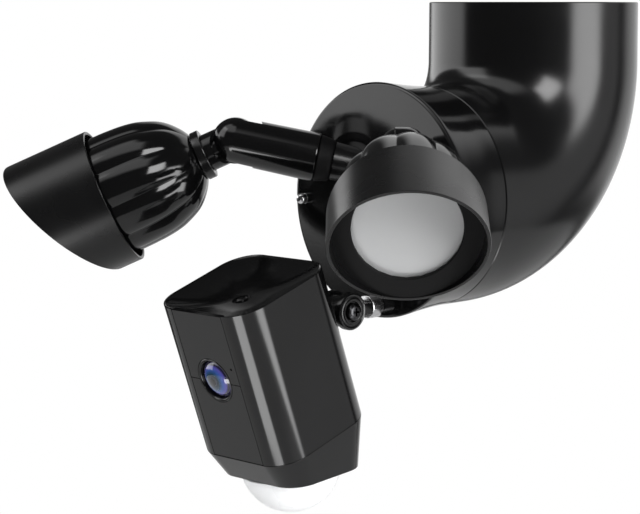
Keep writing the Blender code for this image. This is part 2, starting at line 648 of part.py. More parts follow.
def build_base(place, tilt):
    """Build the tapered skirt with the motion sensor and its dome."""
    body = place @ Matrix.Translation(BODY_TOP)
    top = skirt_section(BODY_CORNER, 0, 0, 0, GAP, 0)
    low = skirt_section(0.0130, 0.0059, 0.0047, 0.0090, SKIRT_DROP, SKIRT_SLOPE)
    skirt = add_mesh("base_skirt", loft_mesh("skirt", (top, low)), body, "satin_black", tilt)
    inner_top = skirt_section(BODY_CORNER - BODY_WALL, BODY_WALL, BODY_WALL, BODY_WALL, -0.001, 0)
    inner_low = skirt_section(0.0110, 0.0067, 0.0062, 0.0092, SKIRT_DROP - 0.0022, SKIRT_SLOPE)
    hollow = cutter("skirt_hollow", loft_mesh("hollow", (inner_top, inner_low)), body)
    opening = cutter("dome_opening", rod_mesh("opening", DOME_NECK + GAP, -0.13, -0.09,
                                              centre=(0, DOME_SPOT.y, 0), steps=36), body)
    join_shapes(skirt, "DIFFERENCE", hollow, opening)
    smooth(skirt)

    spot = body @ Matrix.Translation(DOME_SPOT)
    ball = ball_mesh("ball", DOME_RADIUS, 32, 18)
    dome = add_mesh("sensor_dome", ball, spot, "milky", tilt)
    lean = Matrix.Rotation(-math.atan(SKIRT_SLOPE), 4, "X")
    brim = Matrix.Translation((0, 0, -BODY_HEIGHT - SKIRT_DROP - 0.0004)) @ lean
    above = cutter("dome_brim", block_mesh("above", (0.1, 0.1, 0.04), (0, 0, 0.02)), body @ brim)
    neck = cutter("dome_neck", rod_mesh("neck", DOME_NECK, -0.0080, 0.0005, steps=32), spot)
    inside = cutter("dome_inside", ball_mesh("inside", DOME_RADIUS - 0.0032, 24, 14), spot)
    bore = cutter("dome_bore", rod_mesh("bore", DOME_NECK - 0.0016, -0.0100, 0.0100, steps=32), spot)
    join_shapes(dome, "DIFFERENCE", above)
    join_shapes(dome, "UNION", neck)
    join_shapes(dome, "DIFFERENCE", inside, bore)
    smooth(dome)
    disc("sensor_board", 0.0205, -0.1010, -0.0994, body, "board", 24, parent=tilt)
    can = [(0, -0.1100), (0.0040, -0.1100), (0.0045, -0.1095), (0.0045, -0.1013), (0, -0.1013)]
    turned("motion_sensor", list(reversed(can)), body, "steel", 16, parent=tilt)


def main():
    """Build the whole object."""
    build_elbow()
    build_cover()
    for side, label in ((-1, "left"), (1, "right")):
        swivel = build_arm(side, label)
        build_lamp(side, label, swivel)
    place = Matrix.Translation(CAMERA_PIVOT) @ Matrix.Rotation(CAMERA_TILT, 4, "X")
    tilt = build_camera_mount(place)
    build_body(place, tilt)
    build_base(place, tilt)
    bpy.context.view_layer.update()


clear_scene()
PARTS, CUTTERS = make_collections()
main()
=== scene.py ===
"""Looks for a floodlight security camera that hangs from an elbow housing.

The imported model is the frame.  Each sub-assembly is a class that builds its
finer pieces in the same place and at the same size, and dresses those that
stay.  Sizes are in metres.
"""

import logging
import math
from dataclasses import dataclass
from enum import Enum
from typing import Iterable, Optional, Sequence

import bmesh
import bpy
import numpy as np
from mathutils import Matrix, Vector


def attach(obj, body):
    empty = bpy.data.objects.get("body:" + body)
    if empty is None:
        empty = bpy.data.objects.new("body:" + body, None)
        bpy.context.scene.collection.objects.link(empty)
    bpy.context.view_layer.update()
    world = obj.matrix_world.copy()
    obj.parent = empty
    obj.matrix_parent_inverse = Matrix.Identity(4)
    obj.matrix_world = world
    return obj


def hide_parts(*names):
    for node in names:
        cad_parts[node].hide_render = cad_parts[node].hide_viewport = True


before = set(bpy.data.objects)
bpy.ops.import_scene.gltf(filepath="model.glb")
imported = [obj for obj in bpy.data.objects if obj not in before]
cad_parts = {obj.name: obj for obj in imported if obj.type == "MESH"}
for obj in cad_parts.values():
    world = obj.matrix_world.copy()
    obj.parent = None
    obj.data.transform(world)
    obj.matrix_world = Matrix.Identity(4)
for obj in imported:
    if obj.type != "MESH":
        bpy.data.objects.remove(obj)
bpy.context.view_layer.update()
LOG = logging.getLogger("floodlight_camera")

# The gap between touching pieces; the cover's axis, its front and the seam behind it.
GAP = 0.0003
AXIS_Z = -0.1035
FACE_Y = -0.1237
SEAM_Y = -0.0874

# The camera's tilt pivot and its lean; the body's top and the lens from there.
CAMERA_PIVOT = (0.0, -0.1493, -0.1590)
CAMERA_LEAN = math.radians(19.8)
BODY_TOP = Vector((0.0, -0.0580, 0.0415))
BODY_DEPTH = 0.0653
LENS_Z = -0.0370
CAMERA_PLACE = Matrix.Translation(CAMERA_PIVOT) @ Matrix.Rotation(CAMERA_LEAN, 4, "X")
LENS_CENTRE = CAMERA_PLACE @ (BODY_TOP + Vector((0.0, -BODY_DEPTH / 2, LENS_Z)))

# What the cards of light face, and how far off they hang.
MIDDLE = (0.0, -0.12, -0.12)
CARD_REACH = 0.95

# The scale of the broad noise, and the cosines between which an edge is painted lighter, as rubbed wear
# and as a painted highlight.
CLOUD_SCALE = 26.0
EDGE_WEAR_SHEEN_FULL, EDGE_WEAR_SHEEN_NONE = 0.72, 0.99

Profile = Sequence[tuple[float, float]]


# ---------------------------------------------------------------- named choices

class Side(Enum):
    """The object's own left and right, as a sign along X."""

    LEFT = -1
    RIGHT = 1

    @property
    def label(self) -> str:
        """The word that node and body names end in."""
        return self.name.lower()


class Axis(Enum):
    """A local axis, with the turn that brings Z onto it."""

    X = "X"
    Y = "Y"
    Z = "Z"

    @property
    def turn(self) -> Matrix:
        """The rotation from Z to this axis."""
        if self is Axis.X:
            return Matrix.Rotation(math.pi / 2, 4, "Y")
        if self is Axis.Y:
            return Matrix.Rotation(-math.pi / 2, 4, "X")
        return Matrix.Identity(4)


# ---------------------------------------------------------------- finishes

def shader_node(tree: bpy.types.NodeTree, kind: str, inputs: Optional[dict] = None,
                **settings: object) -> bpy.types.Node:
    """Add a shader node, set it and wire it.

    Args:
        tree: The tree it goes in.
        kind: The node's type name.
        inputs: Values or output sockets by input name or number.
        **settings: The node's own properties.

    Returns:
        The new node.
    """
    made = tree.nodes.new(kind)
    for key, value in settings.items():
        setattr(made, key, value)
    for key, value in (inputs or {}).items():
        if isinstance(value, bpy.types.NodeSocket):
            tree.links.new(value, made.inputs[key])
        else:
            made.inputs[key].default_value = value
    return made


@dataclass(frozen=True)
class Finish:
    """A moulded, painted or plated surface.

    Its colour and gloss vary a little over a hand's width, its skin has a fine
    grain, and its edges are painted lighter, partly as rubbed wear and partly as a painted highlight.
    """

    title: str
    colour: tuple[float, float, float]
    roughness: float
    metallic: float = 0.0
    coat: float = 0.0
    coat_roughness: float = 0.05
    grain: float = 0.0007
    relief: float = 0.05
    mottle: float = 0.25
    spread: float = 0.15
    # How much lighter the edges are painted, as rubbed wear and as a painted highlight.
    edge_wear_and_sheen: float = 0.25
    edge: float = 0.0004
    specular: float = 0.5

    def material(self) -> bpy.types.Material:
        """Return this finish's material, made the first time it is asked for.

        Returns:
            The material.
        """
        found = bpy.data.materials.get(self.title)
        if found is not None:
            return found
        material = bpy.data.materials.new(self.title)
        material.use_nodes = True
        tree = material.node_tree
        shader = tree.nodes["Principled BSDF"]
        shader.inputs["Metallic"].default_value = self.metallic
        shader.inputs["Specular IOR Level"].default_value = self.specular
        shader.inputs["Coat Weight"].default_value = self.coat
        shader.inputs["Coat Roughness"].default_value = self.coat_roughness
        self.shape(tree, shader)
        return material

    def shape(self, tree: bpy.types.NodeTree, shader: bpy.types.Node) -> None:
        """Wire colour, roughness and bump.

        Args:
            tree: The material's tree.
            shader: Its Principled shader.
        """
        place = shader_node(tree, "ShaderNodeTexCoord").outputs["Object"]
        cloud = shader_node(tree, "ShaderNodeTexNoise",
                            {"Vector": place, "Scale": CLOUD_SCALE, "Detail": 3.0}).outputs["Fac"]
        skin = shader_node(tree, "ShaderNodeTexNoise",
                           {"Vector": place, "Scale": 1.0 / self.grain, "Detail": 2.0}).outputs["Fac"]
        colour = self.colouring(tree, place, cloud)
        rounded = shader_node(tree, "ShaderNodeBevel", {"Radius": self.edge}, samples=4)
        true = shader_node(tree, "ShaderNodeNewGeometry").outputs["Normal"]
        turn = shader_node(tree, "ShaderNodeVectorMath", {0: rounded.outputs["Normal"], 1: true},
                           operation="DOT_PRODUCT")
        # Edges are painted lighter: partly rubbed wear, partly a painted highlight where light would
        # catch the rounding.
        rub_and_sheen = shader_node(tree, "ShaderNodeMapRange", {
            "Value": turn.outputs["Value"], "From Min": EDGE_WEAR_SHEEN_FULL, "From Max": EDGE_WEAR_SHEEN_NONE,
            "To Min": self.edge_wear_and_sheen, "To Max": 0.0})
        pale = tuple(min(1.0, part * 1.6 + 0.05) for part in self.colour)
        worn_and_sheen = shader_node(tree, "ShaderNodeMix", {
            "Factor": rub_and_sheen.outputs["Result"], "A": colour, "B": (*pale, 1.0)}, data_type="RGBA")
        tree.links.new(worn_and_sheen.outputs["Result"], shader.inputs["Base Color"])
        rough = shader_node(tree, "ShaderNodeMapRange", {
            "Value": cloud, "From Min": 0.3, "From Max": 0.7,
            "To Min": self.roughness * (1 - self.spread), "To Max": self.roughness * (1 + self.spread)})
        tree.links.new(rough.outputs["Result"], shader.inputs["Roughness"])
        bump = shader_node(tree, "ShaderNodeBump", {
            "Height": skin, "Strength": self.relief, "Distance": self.grain * 0.3})
        tree.links.new(bump.outputs["Normal"], shader.inputs["Normal"])

    def colouring(self, tree: bpy.types.NodeTree, place: bpy.types.NodeSocket,
                  cloud: bpy.types.NodeSocket) -> bpy.types.NodeSocket:
        """Return the base colour's socket.

        Args:
            tree: The material's tree.
            place: Object coordinates, not used here.
            cloud: The broad noise.

        Returns:
            A colour output.
        """
        deep = tuple(part * (1 - self.mottle) for part in self.colour)
        light = tuple(min(1.0, part * (1 + self.mottle)) for part in self.colour)
        mixed = shader_node(tree, "ShaderNodeMix", {
            "Factor": cloud, "A": (*deep, 1.0), "B": (*light, 1.0)}, data_type="RGBA")
        return mixed.outputs["Result"]


@dataclass(frozen=True)
class BoardFinish(Finish):
    """Solder mask over copper tracks."""

    def colouring(self, tree: bpy.types.NodeTree, place: bpy.types.NodeSocket,
                  cloud: bpy.types.NodeSocket) -> bpy.types.NodeSocket:
        """Return solder mask crossed by lighter tracks.

        Args:
            tree: The material's tree.
            place: Object coordinates.
            cloud: The broad noise, not used here.

        Returns:
            A colour output.
        """
        tracks = shader_node(tree, "ShaderNodeTexBrick", {
            "Vector": place, "Scale": 160.0, "Mortar Size": 0.06,
            "Color1": (*self.colour, 1.0), "Color2": (*(part * 0.85 for part in self.colour), 1.0),
            "Mortar": (*(min(1.0, part * 2.2) for part in self.colour), 1.0)})
        return tracks.outputs["Color"]


@dataclass(frozen=True)
class MilkyFinish(Finish):
    """White plastic that lets light soak in."""

    soak: float = 0.35

    def shape(self, tree: bpy.types.NodeTree, shader: bpy.types.Node) -> None:
        """Wire the moulded finish and let light soak in.

        Args:
            tree: The material's tree.
            shader: Its Principled shader.
        """
        super().shape(tree, shader)
        shader.inputs["Subsurface Weight"].default_value = self.soak
        shader.inputs["Subsurface Radius"].default_value = (1.0, 1.0, 1.0)
        shader.inputs["Subsurface Scale"].default_value = 0.002


@dataclass(frozen=True)
class CoatedGlass(Finish):
    """A lens element painted with rings: the coating's violet, blue and green sheen as painted
    reflection, and dark rings for the barrel inside.
    """

    centre: tuple[float, float, float] = (0.0, 0.0, 0.0)
    lean: float = 0.0
    reach: float = 0.0100
    # Painted rings: the dark rings and the thin grey ring stand for the barrel inside, and the violet
    # and blue rings are the coating's painted reflection.
    rings: tuple[tuple[float, tuple[float, float, float]], ...] = (
        (0.0, (0.002, 0.002, 0.004)), (0.20, (0.003, 0.003, 0.006)),
        (0.24, (0.06, 0.07, 0.10)), (0.28, (0.004, 0.005, 0.01)),
        (0.44, (0.01, 0.05, 0.10)), (0.60, (0.03, 0.08, 0.30)),
        (0.76, (0.08, 0.07, 0.34)), (0.84, (0.012, 0.01, 0.03)),
        (0.92, (0.03, 0.025, 0.09)), (1.0, (0.006, 0.006, 0.009)))

    def colouring(self, tree: bpy.types.NodeTree, place: bpy.types.NodeSocket,
                  cloud: bpy.types.NodeSocket) -> bpy.types.NodeSocket:
        """Return painted rings about the lens axis: the coating's painted reflection in violet, blue
        and green, and dark rings for the barrel inside.

        Args:
            tree: The material's tree.
            place: Object coordinates.
            cloud: The broad noise, not used here.

        Returns:
            A colour output.
        """
        moved = shader_node(tree, "ShaderNodeVectorMath", {0: place, 1: self.centre},
                            operation="SUBTRACT").outputs["Vector"]
        turned = shader_node(tree, "ShaderNodeMapping", {
            "Vector": moved, "Rotation": (-self.lean, 0.0, 0.0)}).outputs["Vector"]
        flat = shader_node(tree, "ShaderNodeVectorMath", {
            0: turned, 1: (1.0 / self.reach, 0.0, 1.0 / self.reach)}, operation="MULTIPLY")
        away = shader_node(tree, "ShaderNodeVectorMath", {0: flat.outputs["Vector"]},
                           operation="LENGTH")
        ramp = shader_node(tree, "ShaderNodeValToRGB", {"Fac": away.outputs["Value"]})
        elements = ramp.color_ramp.elements
        for element, (spot, shade) in zip(elements, (self.rings[0], self.rings[-1])):
            element.position = spot
            element.color = (*shade, 1.0)
        for spot, shade in self.rings[1:-1]:
            elements.new(spot).color = (*shade, 1.0)
        return ramp.outputs["Color"]


class Finishes(Enum):
    """Every finish on the object."""

    GLOSS = Finish("gloss_black_shell", (0.003, 0.003, 0.0032), 0.11, relief=0.012, grain=0.0016,
                   edge_wear_and_sheen=0.10)
    FACE = Finish("gloss_black_face", (0.0035, 0.0035, 0.0037), 0.10, relief=0.010, grain=0.0016,
                  edge_wear_and_sheen=0.08)
    SATIN = Finish("satin_black_housing", (0.0035, 0.0035, 0.0037), 0.19, relief=0.02, edge_wear_and_sheen=0.10)
    SHELL = Finish("polished_black_shell", (0.0035, 0.0035, 0.0037), 0.13, relief=0.012, edge_wear_and_sheen=0.10)
    HOOD = Finish("satin_black_hood", (0.0040, 0.0040, 0.0042), 0.27, relief=0.05, edge_wear_and_sheen=0.18,
                  specular=0.38)
    MATT = Finish("matt_black_bezel", (0.0032, 0.0032, 0.0034), 0.52, relief=0.15, edge_wear_and_sheen=0.08,
                  specular=0.14)
    RUBBER = Finish("black_rubber", (0.014, 0.014, 0.014), 0.85, relief=0.3, grain=0.0004)
    STEEL = Finish("zinc_plated_steel", (0.62, 0.62, 0.63), 0.26, metallic=1.0, relief=0.06,
                   grain=0.0003, mottle=0.12, spread=0.3)
    DARK_STEEL = Finish("blackened_steel", (0.055, 0.055, 0.058), 0.24, metallic=1.0, relief=0.04,
                        grain=0.0003)
    NYLON = Finish("natural_nylon", (0.72, 0.70, 0.64), 0.5, relief=0.08, mottle=0.06)
    TIN = Finish("white_painted_metal", (0.78, 0.78, 0.76), 0.3, relief=0.03, mottle=0.05)
    BOARD = BoardFinish("green_circuit_board", (0.02, 0.10, 0.045), 0.42, relief=0.05)
    FROSTED = MilkyFinish("frosted_lamp_lens", (0.44, 0.444, 0.448), 0.42, relief=0.10, grain=0.0005,
                          mottle=0.03, edge_wear_and_sheen=0.1)
    MILKY = MilkyFinish("milky_sensor_dome", (0.90, 0.91, 0.92), 0.28, relief=0.03, mottle=0.02,
                        edge_wear_and_sheen=0.05)
    PUPIL = CoatedGlass("coated_lens_glass", (0.03, 0.04, 0.12), 0.05, coat=1.0, coat_roughness=0.02,
                        relief=0.0, edge_wear_and_sheen=0.0, centre=tuple(LENS_CENTRE), lean=CAMERA_LEAN)

    def material(self) -> bpy.types.Material:
        """Return the finish's material."""
        return self.value.material()


# ---------------------------------------------------------------- shaping

def frame_matrix(origin: Sequence[float], axis: Sequence[float], side: Sequence[float]) -> Matrix:
    """Return a placement with local Z on an axis and local X near a side.

    Args:
        origin: Where the frame's origin goes.
        axis: The direction of local Z.
        side: A direction that local X lies near.

    Returns:
        A 4x4 placement.
    """
    z_axis = Vector(axis).normalized()
    x_axis = Vector(side) - z_axis * Vector(side).dot(z_axis)
    x_axis.normalize()
    turn = Matrix((x_axis, z_axis.cross(x_axis), z_axis)).transposed().to_4x4()
    return Matrix.Translation(origin) @ turn


def eased(points: Profile, count: int) -> list[tuple[float, float]]:
    """Return a smooth curve through points.

    Args:
        points: The points of (radius, height) it goes through.
        count: How many steps each span is cut into.

    Returns:
        The curve's points, ends included.
    """
    spots = [Vector(point) for point in points]
    spots = [spots[0] * 2 - spots[1]] + spots + [spots[-1] * 2 - spots[-2]]
    curve = []
    for before, here, there, after in zip(spots, spots[1:], spots[2:], spots[3:]):
        for step in range(count):
            t = step / count
            bend = (here * 2 + (there - before) * t
                    + (before * 2 - here * 5 + there * 4 - after) * t * t
                    + (here * 3 - before - there * 3 + after) * t ** 3) * 0.5
            curve.append((bend.x, bend.y))
    curve.append(tuple(points[-1]))
    return curve


def corner_normals(mesh: bpy.types.Mesh, sharp: float) -> list[list[float]]:
    """Return a shading normal for each corner that keeps broad faces flat up to their edges.

    Args:
        mesh: The mesh.
        sharp: The angle past which two faces shade apart.

    Returns:
        One normal for each corner, averaged by area over the faces that meet there.
    """
    count, faces = len(mesh.loops), len(mesh.polygons)
    verts, totals = np.empty(count, np.int32), np.empty(faces, np.int32)
    facing, areas = np.empty(faces * 3, np.float32), np.empty(faces, np.float32)
    mesh.loops.foreach_get("vertex_index", verts)
    mesh.polygons.foreach_get("loop_total", totals)
    mesh.polygons.foreach_get("normal", facing)
    mesh.polygons.foreach_get("area", areas)
    order = np.argsort(verts, kind="stable")
    owner = np.repeat(np.arange(faces), totals)[order]
    verts, facing, areas = verts[order], facing.reshape(-1, 3)[owner], areas[owner][:, None] + 1e-12
    total = facing * areas
    near, step = np.arange(count), 1
    while near.size:
        near = near[near + step < count]
        near = near[verts[near] == verts[near + step]]
        alike = (facing[near] * facing[near + step]).sum(axis=1) > math.cos(sharp)
        one, two = near[alike], near[alike] + step
        total[one] += facing[two] * areas[two]
        total[two] += facing[one] * areas[one]
        step += 1
    total /= np.maximum(np.linalg.norm(total, axis=1), 1e-20)[:, None]
    result = np.empty_like(total)
    result[order] = total
    return result.tolist()


class Blank:
    """One mesh on the bench, shaped by bmesh operators."""

    def __init__(self) -> None:
        """Start with an empty mesh."""
        self.work = bmesh.new()

    @classmethod
    def turned(cls, profile: Profile, steps: int = 96, closed: bool = False) -> "Blank":
        """Spin a profile of (radius, height) points about Z.

        Args:
            profile: The points, in order.
            steps: How many steps make the full turn.
            closed: Whether the last point joins the first.

        Returns:
            The turned blank.
        """
        blank = cls()
        verts = [blank.work.verts.new((radius, 0.0, height)) for radius, height in profile]
        edges = [blank.work.edges.new(pair) for pair in zip(verts, verts[1:])]
        if closed:
            edges.append(blank.work.edges.new((verts[-1], verts[0])))
        bmesh.ops.spin(blank.work, geom=verts + edges, cent=(0, 0, 0), axis=(0, 0, 1),
                       angle=math.tau, steps=steps, use_merge=True)
        return blank.welded()

    @classmethod
    def rod(cls, radius: float, low: float, high: float, axis: Axis = Axis.Z,
            centre: Sequence[float] = (0, 0, 0), steps: int = 64) -> "Blank":
        """Make a rod along one local axis.

        Args:
            radius: Its radius.
            low: Where it starts along the axis.
            high: Where it ends.
            axis: The local axis.
            centre: A point on that axis.
            steps: Faces round it.

        Returns:
            The rod.
        """
        blank = cls()
        bmesh.ops.create_cone(blank.work, cap_ends=True, segments=steps, radius1=radius,
                              radius2=radius, depth=high - low)
        shift = Matrix.Translation((0, 0, (high + low) / 2))
        return blank.placed(Matrix.Translation(centre) @ axis.turn @ shift)

    @classmethod
    def block(cls, size: Sequence[float], centre: Sequence[float] = (0, 0, 0)) -> "Blank":
        """Make a box.

        Args:
            size: Its full size along each axis.
            centre: Its middle.

        Returns:
            The box.
        """
        blank = cls()
        bmesh.ops.create_cube(blank.work, size=1.0)
        bmesh.ops.scale(blank.work, vec=size, verts=blank.work.verts[:])
        return blank.placed(Matrix.Translation(centre))

    @classmethod
    def ball(cls, radius: float, around: int = 96, down: int = 48) -> "Blank":
        """Make a ball about the origin.

        Args:
            radius: Its radius.
            around: Faces round it.
            down: Faces from pole to pole.

        Returns:
            The ball.
        """
        blank = cls()
        bmesh.ops.create_uvsphere(blank.work, u_segments=around, v_segments=down, radius=radius)
        return blank

    @classmethod
    def swept(cls, rings: Sequence[tuple[Matrix, float]], steps: int, closed: bool) -> "Blank":
        """Bridge circles along a path.

        Args:
            rings: Each circle's placement and radius.
            steps: Points on a circle.
            closed: Whether the last circle joins the first.

        Returns:
            The swept blank.
        """
        blank = cls()
        hoops = []
        for place, radius in rings:
            made = bmesh.ops.create_circle(blank.work, cap_ends=False, radius=radius,
                                           segments=steps, matrix=place)
            hoops.append(list({edge for vert in made["verts"] for edge in vert.link_edges}))
        pairs = list(zip(hoops, hoops[1:]))
        if closed:
            pairs.append((hoops[-1], hoops[0]))
        for first, second in pairs:
            bmesh.ops.bridge_loops(blank.work, edges=first + second)
        return blank.welded()

    def welded(self) -> "Blank":
        """Merge doubled points and turn the faces outward.

        Returns:
            The same blank.
        """
        bmesh.ops.remove_doubles(self.work, verts=self.work.verts[:], dist=0.000002)
        bmesh.ops.recalc_face_normals(self.work, faces=self.work.faces[:])
        return self

    def placed(self, place: Matrix) -> "Blank":
        """Move the whole blank by a placement."""
        bmesh.ops.transform(self.work, matrix=place, verts=self.work.verts[:])
        return self

    def softened(self, width: float, segments: int = 2, angle: float = 35.0) -> "Blank":
        """Round every sharp edge.

        Args:
            width: How far the rounding reaches from the edge.
            segments: Its steps.
            angle: The angle in degrees past which an edge is sharp.

        Returns:
            The same blank.
        """
        limit = math.radians(angle)
        edges = [edge for edge in self.work.edges
                 if edge.is_manifold and edge.calc_face_angle(0.0) > limit]
        bmesh.ops.bevel(self.work, geom=edges, offset=width, affect="EDGES", segments=segments,
                        profile=0.5, material=-1, clamp_overlap=True)
        return self

    def sliced(self, spot: Sequence[float], normal: Sequence[float], bridge: bool = False) -> "Blank":
        """Cut away what lies on a plane's outer side and close the cut.

        Args:
            spot: A point on the plane.
            normal: Its direction, towards what goes.
            bridge: Whether the cut is a ring, closed by bridging its two loops.

        Returns:
            The same blank.
        """
        geometry = self.work.verts[:] + self.work.edges[:] + self.work.faces[:]
        made = bmesh.ops.bisect_plane(self.work, geom=geometry, plane_co=spot, plane_no=normal,
                                      clear_outer=True, dist=0.000001)
        rim = [part for part in made["geom_cut"] if isinstance(part, bmesh.types.BMEdge)]
        if bridge:
            bmesh.ops.bridge_loops(self.work, edges=rim)
        else:
            bmesh.ops.contextual_create(self.work, geom=rim)
        return self.welded()

    def combined(self, kind: str, tools: Iterable["Blank"]) -> "Blank":
        """Cut or join this blank with others by exact Booleans.

        Args:
            kind: The Boolean's operation.
            tools: The other blanks, which it uses up.

        Returns:
            The same blank.
        """
        for tool in tools:
            items = []
            for blank in (self, tool):
                mesh = bpy.data.meshes.new("bench")
                blank.work.to_mesh(mesh)
                blank.work.free()
                items.append(bpy.data.objects.new("bench", mesh))
                bpy.context.scene.collection.objects.link(items[-1])
            change = items[0].modifiers.new("bench", "BOOLEAN")
            change.operation = kind
            change.solver = "EXACT"
            change.object = items[1]
            bpy.context.view_layer.update()
            graph = bpy.context.evaluated_depsgraph_get()
            result = bpy.data.meshes.new_from_object(items[0].evaluated_get(graph))
            self.work = bmesh.new()
            self.work.from_mesh(result)
            bpy.data.meshes.remove(result)
            for item in items:
                bpy.data.meshes.remove(item.data)
        return self

    def cut(self, *tools: "Blank") -> "Blank":
        """Cut the tools' shapes away."""
        return self.combined("DIFFERENCE", tools)

    def join(self, *tools: "Blank") -> "Blank":
        """Join the tools' shapes on."""
        return self.combined("UNION", tools)

    def present(self, name: str, finish: Finishes, body: str, *nodes: str,
                place: Optional[Matrix] = None, sharp: float = 34.0) -> bpy.types.Object:
        """Finish the blank as a piece of the object.

        Args:
            name: The piece's name.
            finish: What it is made of.
            body: The moving body it rides on.
            *nodes: The CAD nodes it stands for.
            place: Where it goes, if it isn't there yet.
            sharp: The angle in degrees past which an edge shades sharp.

        Returns:
            The finished piece.
        """
        if place is not None:
            self.placed(place)
        mesh = bpy.data.meshes.new(name)
        self.work.to_mesh(mesh)
        self.work.free()
        mesh.shade_smooth()
        mesh.set_sharp_from_angle(angle=math.radians(sharp))
        mesh.normals_split_custom_set(corner_normals(mesh, math.radians(sharp)))
        mesh.materials.append(finish.material())
        item = bpy.data.objects.new(name, mesh)
        bpy.context.scene.collection.objects.link(item)
        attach(item, body)
        if nodes:
            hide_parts(*nodes)
        LOG.info("%s: %d faces", name, len(mesh.polygons))
        return item

    def refine(self, node: str, finish: Finishes, body: str, place: Optional[Matrix] = None,
               sharp: float = 34.0) -> bpy.types.Object:
        """Finish the blank as the finer form of one CAD node, named after it."""
        return self.present(f"{node}_fine", finish, body, node, place=place, sharp=sharp)


def dress(finish: Finishes, *nodes: str) -> None:
    """Give CAD nodes that stay a finish.

    Args:
        finish: What they are made of.
        *nodes: The nodes.
    """
    for name in nodes:
        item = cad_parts[name]
        item.data.materials.clear()
        item.data.materials.append(finish.material())


def cross_recess(reach: float, width: float, depth: float, top: float) -> list[Blank]:
    """Return the tools that cut a cross recess into a screw's head.

    Args:
        reach: The cross's full width.
        width: The width of one arm.
        depth: How deep it goes.
        top: The height of the head's top.

    Returns:
        Two blocks.
    """
    centre = (0, 0, top - depth / 2 + 0.0005)
    tall = depth + 0.001
    return [Blank.block((reach, width, tall), centre), Blank.block((width, reach, tall), centre)]


# ---------------------------------------------------------------- elbow

@dataclass
class Elbow:
    """The bent housing, what fixes it to the box and what it holds."""

    top_radius: float = 0.05803
    seam_radius: float = 0.05887
    wall: float = 0.0026
    drop: float = 0.0332
    bend: float = 0.0703
    elbow_screw: float = 0.0470
    bracket_screw: float = 0.0430
    steps: int = 160
    body: str = "elbow"

    def path(self, share: float) -> tuple[Matrix, float]:
        """Return one ring of the tube.

        Args:
            share: How far along it is, from nought at the mouth to one at the seam.

        Returns:
            Its placement and its outer radius.
        """
        spans = (self.drop, self.bend * math.pi / 2, -SEAM_Y - self.bend)
        length = share * sum(spans)
        radius = self.top_radius + (self.seam_radius - self.top_radius) * share
        if length <= spans[0]:
            return Matrix.Translation((0, 0, -length)), radius
        hinge = Matrix.Translation((0, -self.bend, -self.drop))
        angle = min(length - spans[0], spans[1]) / self.bend
        place = hinge @ Matrix.Rotation(-angle, 4, "X") @ Matrix.Translation((0, self.bend, 0))
        onward = max(0.0, length - spans[0] - spans[1])
        return Matrix.Translation((0, -onward, 0)) @ place, radius

    def build_shell(self) -> None:
        """Sweep the tube down, round the bend and forward, with its inner wall."""
        shares = [0.0, 0.003] + [step / 56 for step in range(1, 56)] + [0.9975, 1.0]
        outer = [self.path(share) for share in shares]
        outer[0] = (outer[0][0], outer[0][1] - 0.0006)
        outer[-1] = (outer[-1][0], outer[-1][1] - 0.0005)
        inner = [(place, radius - self.wall) for place, radius in map(self.path, reversed(shares))]
        shell = Blank.swept(outer + inner, self.steps, closed=True)
        shell.present("elbow_shell", Finishes.SATIN, self.body, "elbow_housing")
        for side in Side:
            lug = Blank.block((0.0120, 0.0120, 0.0060), (side.value * 0.0490, 0, -0.0095))
            hole = Blank.rod(0.0023, -0.0150, -0.0050, centre=(side.value * self.elbow_screw, 0, 0))
            lug.softened(0.0008).cut(hole)
            lug.present(f"elbow_lug_{side.label}", Finishes.SATIN, self.body)

    def build_bracket(self) -> None:
        """Make the mounting plate with its slots, holes and screws."""
        plate = Blank.rod(0.0505, -0.0025, 0.0, steps=128).softened(0.0004)
        tools = [Blank.rod(0.0090, -0.01, 0.01, centre=(0, 0.0230, 0))]
        tools += [Blank.rod(0.0060, -0.01, 0.01, centre=(0, -0.0180, 0))]
        for side in Side:
            along, across = side.value * self.bracket_screw, side.value * self.elbow_screw
            tools.append(Blank.rod(0.0024, -0.01, 0.01, centre=(0, along, 0)))
            tools.append(Blank.rod(0.0019, -0.01, 0.01, centre=(across, 0, 0)))
            slot = Blank.block((0.0040, 0.0180, 0.02), (side.value * 0.0260, 0.0, 0.0))
            tools.append(slot.softened(0.0018, 4))
        plate.cut(*tools)
        plate.present("wall_plate", Finishes.STEEL, self.body, "mounting_bracket")
        for label, sign in (("front", -1), ("rear", 1)):
            self.build_screw(f"bracket_screw_{label}", (0, sign * self.bracket_screw), 0.0042, 0.0020,
                             -0.0028)
        for side in Side:
            self.build_screw(f"elbow_screw_{side.label}", (side.value * self.elbow_screw, 0), 0.0034,
                             0.0016, -0.0128)

    def build_screw(self, node: str, spot: tuple[float, float], head: float, shank: float,
                    seat: float) -> None:
        """Make a screw that is driven from below.

        Args:
            node: The CAD node it stands for.
            spot: Its place in X and Y.
            head: The head's radius.
            shank: The shank's radius.
            seat: The height that the head bears on.
        """
        low = seat - 0.0024
        profile = [(0, -0.0003), (shank - 0.0003, -0.0003), (shank, -0.0006), (shank, seat),
                   (head * 0.96, seat), (head * 0.96, seat - 0.0008), (head * 0.8, seat - 0.0018),
                   (head * 0.45, low + 0.0001), (0, low)]
        screw = Blank.turned(profile, 40)
        turn = Matrix.Rotation(math.pi, 4, "X")
        tools = [tool.placed(turn) for tool in cross_recess(head * 1.1, 0.0009, 0.0012, -low)]
        screw.cut(*tools)
        place = Matrix.Translation((*spot, 0))
        screw.refine(node, Finishes.STEEL, self.body, place)

    def build(self) -> None:
        """Build the elbow and dress what it holds."""
        self.build_shell()
        self.build_bracket()
        dress(Finishes.RUBBER, "bracket_gasket", "face_seal", "supply_lead")
        dress(Finishes.MATT, "power_supply")
        dress(Finishes.NYLON, "terminal_block")


